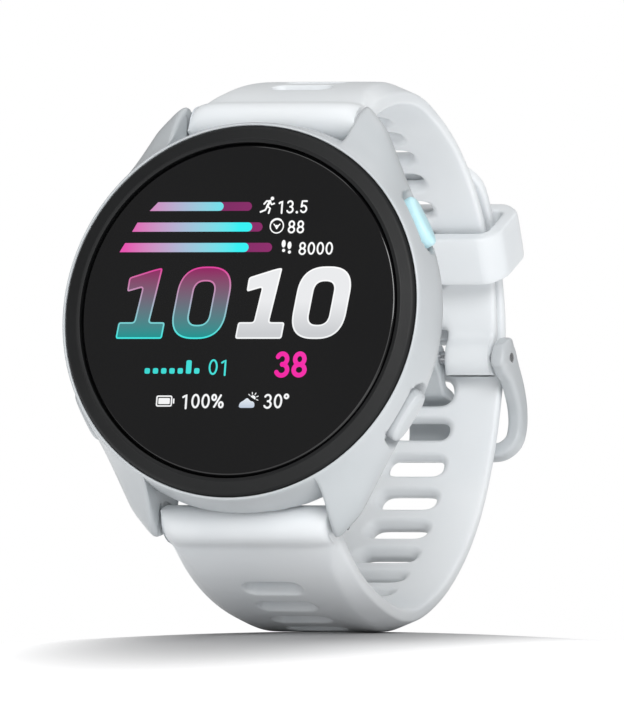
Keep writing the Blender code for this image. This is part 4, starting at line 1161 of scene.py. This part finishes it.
def makeWhiteFigures():
    # the white numbers, and the small signs beside them, each drawn about its own middle (x, z)
    figures = []
    for words, left, foot, height in (("13.5", 3.72, 10.85, 1.43), ("88", 5.1, 8.6, 1.43), ("8000", 6.56, 6.18, 1.43),
                                      ("100%", -6.1, -10.97, 1.62), ("30o", 3.68, -10.97, 1.62)):
        figures += writing(words, left, foot, height, 0.135 * height)
    # runner: head, body, two arms and two legs
    x, z = 2.57, 11.7
    signs = [[disc(x + 0.55, z + 0.78, 0.2)]]
    limbs = [
        [(x + 0.3, z + 0.5), (x + 0.12, z + 0.15), (x + 0.0, z - 0.1)],
        [(x + 0.28, z + 0.48), (x - 0.1, z + 0.5), (x - 0.38, z + 0.18)],
        [(x + 0.3, z + 0.45), (x + 0.5, z + 0.1), (x + 0.8, z + 0.22)],
        [(x + 0.05, z - 0.1), (x + 0.36, z - 0.32), (x + 0.22, z - 0.85)],
        [(x + 0.0, z - 0.12), (x - 0.2, z - 0.5), (x - 0.75, z - 0.72)],
    ]
    signs += [[stroke(limb, 0.27 if k == 0 else 0.19)] for k, limb in enumerate(limbs)]
    # gauge: an open ring, a short thick arc at its top, and a needle with its hub
    x, z = 3.87, 9.4
    for start, end, width in ((60, -250, 0.13), (150, 55, 0.22)):
        turn = np.radians(np.linspace(start, end, 30))
        signs.append([stroke(np.column_stack([x + 0.78 * np.cos(turn), z + 0.78 * np.sin(turn)]), width)])
    signs.append([disc(x, z - 0.05, 0.17)])
    for side in (-1, 1):
        signs.append([stroke([(x + 0.35 * side, z + 0.2), (x + 0.17 * side, z + 0.0), (x, z - 0.3)], 0.13)])
    # footprints: a sole and a heel each
    x, z = 5.21, 7.05
    for offset, drop in ((-0.38, 0.12), (0.32, -0.06)):
        signs.append([disc(0, 0, 1, 24) * (0.23, 0.42) + (x + offset, z + 0.25 + drop)])
        signs.append([disc(x + offset + 0.05, z - 0.5 + drop, 0.18)])
    # battery: a frame, its charge and its terminal
    x, z = -7.98, -10.16
    frameOutline = rounded(box(x - 1.0, z - 0.62, x + 0.9, z + 0.62), 0.25, 6, True)
    signs.append([frameOutline, offsetOutline(frameOutline, -0.15)])
    signs.append([rounded(box(x - 0.72, z - 0.34, x + 0.62, z + 0.34), 0.1, 4, True)])
    signs.append([rounded(box(x + 1.0, z - 0.28, x + 1.16, z + 0.28), 0.06, 4, True)])
    # sun behind a cloud: a half disc with five rays, and a cloud of an outline of arcs
    x, z = 1.95, -10.25
    sun = np.array([x + 0.52, z + 0.42])
    turn = np.radians(np.linspace(-30, 150, 16))
    signs.append([np.column_stack([sun[0] + 0.32 * np.cos(turn), sun[1] + 0.32 * np.sin(turn)])])
    for ray in np.radians([-20, 20, 60, 100, 140]):
        way = np.array([math.cos(ray), math.sin(ray)])
        signs.append([stroke([sun + 0.46 * way, sun + 0.55 * way, sun + 0.66 * way], 0.09)])
    figures += [filledShape(outlines) for outlines in signs]
    white = screenLight("screen_white", "#F2F3F4", "#FFFFFF", (0, 0, -12), (0, 0, 12))
    screenPiece("small_figures", figures, white)
    cloud = rounded([(x - 1.12, z - 0.66), (x + 0.78, z - 0.66), (x + 0.72, z + 0.02), (x + 0.2, z + 0.1),
                     (x - 0.12, z + 0.5), (x - 0.62, z + 0.1), (x - 1.0, z - 0.1)], 0.34, 8, True)
    grey = screenLight("screen_cloud", "#B9C6D8", "#E6ECF2", (0, 0, -11), (0, 0, -9.8))
    screenPiece("cloud_mark", [filledShape([cloud])], grey)


def makeDateRow():
    # seven small marks for the days of a week, the sixth one taller, then the day's number
    marks = []
    for day in range(7):
        left = -10.6 + day * 0.98
        height = 1.5 if day == 5 else 0.62
        mark = box(left, -7.1, left + 0.62, -7.1 + height)
        marks.append(filledShape([rounded(mark, 0.2, 6, True)]))
    marks += writing("01", -3.16, -7.26, 1.8, 0.2)
    screenPiece("date_marks", marks, screenLight("screen_teal", "#35D6D0", "#45E4DE", (-10, 0, -7), (0, 0, -6)))
    number = writing("38", 4.68, -7.4, 2.72, 0.52)
    screenPiece("magenta_number", number, screenLight("screen_magenta", "#F0189F", "#F52AAA", (5, 0, -7.4), (8, 0, -5)))


makeBars()
makeWhiteFigures()
makeDateRow()
print("screen made")

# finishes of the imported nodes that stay

nodeFinishes = {
    "battery": rolledTin, "buzzer": goldPlate, "display_bracket": rolledTin, "display_panel": coverGlass,
    "gps_antenna": goldPlate, "lens_seal": blackRubber, "main_board": boardLaminate, "rear_cover_seal": blackRubber,
    "sensor_board": boardLaminate, "shield_can": rolledTin, "vibration_motor": turnedSteel,
    "spring_bar_upper": turnedSteel, "spring_bar_lower": turnedSteel, "release_pin_upper": turnedSteel,
    "release_pin_lower": turnedSteel,
}
for buttonName in buttonFacts["names"]:
    nodeFinishes[f"{buttonName}_seal"] = blackRubber
    nodeFinishes[f"{buttonName}_switch"] = turnedSteel
for nodeName, finish in nodeFinishes.items():
    for slot in cadNodes[nodeName].material_slots:
        slot.material = finish
print("packed nodes refinished:", sum(bool(cadNodes[nodeName].material_slots) for nodeName in nodeFinishes))

# floor, light and camera

studio = {
    "tableRadius": 25.0,
    "tableSlope": 0.12,
    "tableFlat": 0.05,
    "cameraDistance": 2.8,
    "azimuth": 22.0,
    "target": (-0.0018, -0.0018, 0.0310),
    "viewHeightMm": 77.3,
    "sensorMm": 36.0,
    "dialForward": 0.025,
    "roomLight": 0.3,
    # azimuth and height in degrees, side in metres and power in watts
    "lamps": {
        "key_softbox": (34, 28, 0.4, 4.3), "front_softbox": (14, 6, 0.5, 1.3), "top_softbox": (-10, 70, 0.5, 1.5),
        "back_softbox": (165, 50, 0.4, 0.7),
    },
    "lampDistance": 0.9,
    # the floor's own glow: nothing inside a painted contact shadow under the watch, rising to full beyond its reach in
    # metres; the oval scales each axis before the distance is taken
    "glowInPaintedShadow": 0.0,
    "glowAround": 0.96,
    "paintedShadowReach": (0.01, 0.04),
    "paintedShadowOval": (1.0, 0.45, 1.0),
}


def makeFloor():
    # a round table under the strap, flat in its middle and falling gently away all round: its drop is the
    # slope times what the distance from the middle, joined squarely to the flat's size, exceeds that size by
    turn = np.linspace(0, 2 * math.pi, 96, endpoint=False)[:, None]
    rings = np.concatenate([[0.0001], np.geomspace(0.005, studio["tableRadius"], 60)])[None]
    flat = studio["tableFlat"]
    drop = studio["tableSlope"] * (np.hypot(rings, flat) - flat)
    points = np.stack([rings * np.cos(turn), rings * np.sin(turn), cadBox[0].z - drop + 0 * turn], -1).reshape(-1, 3)
    mesh = bpy.data.meshes.new("floor")
    mesh.from_pydata(points.tolist(), [], gridFaces(96, 61, wrapRows=True)[:, ::-1].tolist())
    mesh.shade_smooth()
    material, tree, shader = newMaterial("light_table_painted_contact_shadow")
    # opal acrylic lit from beneath, matte: white away from the watch, with a painted contact shadow under it where the
    # glow fades to nothing in an oval round the middle
    setShader(shader, colour=linear("#B4B4B5"), rough=0.9, glowColour=linear("#FFFFFF"))
    oval = addNode(tree, "ShaderNodeVectorMath", {
        0: grainCoordinates(tree), 1: studio["paintedShadowOval"],
    }, operation="MULTIPLY")
    away = addNode(tree, "ShaderNodeVectorMath", {0: oval.outputs["Vector"]}, operation="LENGTH")
    glow = addNode(tree, "ShaderNodeMapRange", {
        "Value": away.outputs["Value"], "From Min": studio["paintedShadowReach"][0], "From Max": studio["paintedShadowReach"][1],
        "To Min": studio["glowInPaintedShadow"], "To Max": studio["glowAround"],
    }, interpolation_type="SMOOTHSTEP")
    tree.links.new(glow.outputs["Result"], shader.inputs["Emission Strength"])
    mesh.materials.append(material)
    floor = bpy.data.objects.new("floor", mesh)
    bpy.context.scene.collection.objects.link(floor)


def addSoftbox(name, azimuth, elevation, size, power):
    # a square lamp on a sphere round the watch, facing its middle
    a, e = math.radians(azimuth), math.radians(elevation)
    middle = Vector((0, 0, 0.03))
    way = Vector((math.sin(a) * math.cos(e), -math.cos(a) * math.cos(e), math.sin(e)))
    lamp = bpy.data.lights.new(name, "AREA")
    lamp.shape, lamp.size, lamp.energy = "SQUARE", size, power
    holder = bpy.data.objects.new(name, lamp)
    holder.location = middle + way * studio["lampDistance"]
    holder.rotation_mode = "QUATERNION"
    holder.rotation_quaternion = way.to_track_quat("Z", "Y")
    bpy.context.scene.collection.objects.link(holder)


def makeLight():
    # a white surround to look at that lights the watch more gently, as a large room beyond the lamps does
    world = bpy.data.worlds.new("studio_white")
    world.use_nodes = True
    background = world.node_tree.nodes["Background"]
    background.inputs["Color"].default_value = linear("#FFFFFF")
    tree = world.node_tree
    seen = addNode(tree, "ShaderNodeLightPath").outputs["Is Camera Ray"]
    strength = addNode(tree, "ShaderNodeMapRange", {"Value": seen, "To Min": studio["roomLight"], "To Max": 1.0})
    tree.links.new(strength.outputs["Result"], background.inputs["Strength"])
    bpy.context.scene.world = world
    for name, facts in studio["lamps"].items():
        addSoftbox(name, *facts)
    bpy.context.scene.view_settings.view_transform = "Standard"


def makeCamera():
    # level, turned round the watch, with a long lens that takes in the view's height at the dial
    data = bpy.data.cameras.new("camera")
    data.sensor_width = studio["sensorMm"]
    data.lens = studio["sensorMm"] * studio["cameraDistance"] / (studio["viewHeightMm"] * mm)
    data.clip_start, data.clip_end = 0.05, 100
    holder = bpy.data.objects.new("camera", data)
    azimuth = math.radians(studio["azimuth"])
    forward = Vector((-math.sin(azimuth), math.cos(azimuth), 0))
    holder.location = Vector(studio["target"]) - forward * (studio["cameraDistance"] + studio["dialForward"])
    holder.rotation_mode = "QUATERNION"
    holder.rotation_quaternion = (-forward).to_track_quat("Z", "Y")
    bpy.context.scene.collection.objects.link(holder)
    bpy.context.scene.camera = holder


makeFloor()
makeLight()
makeCamera()
print("studio made")
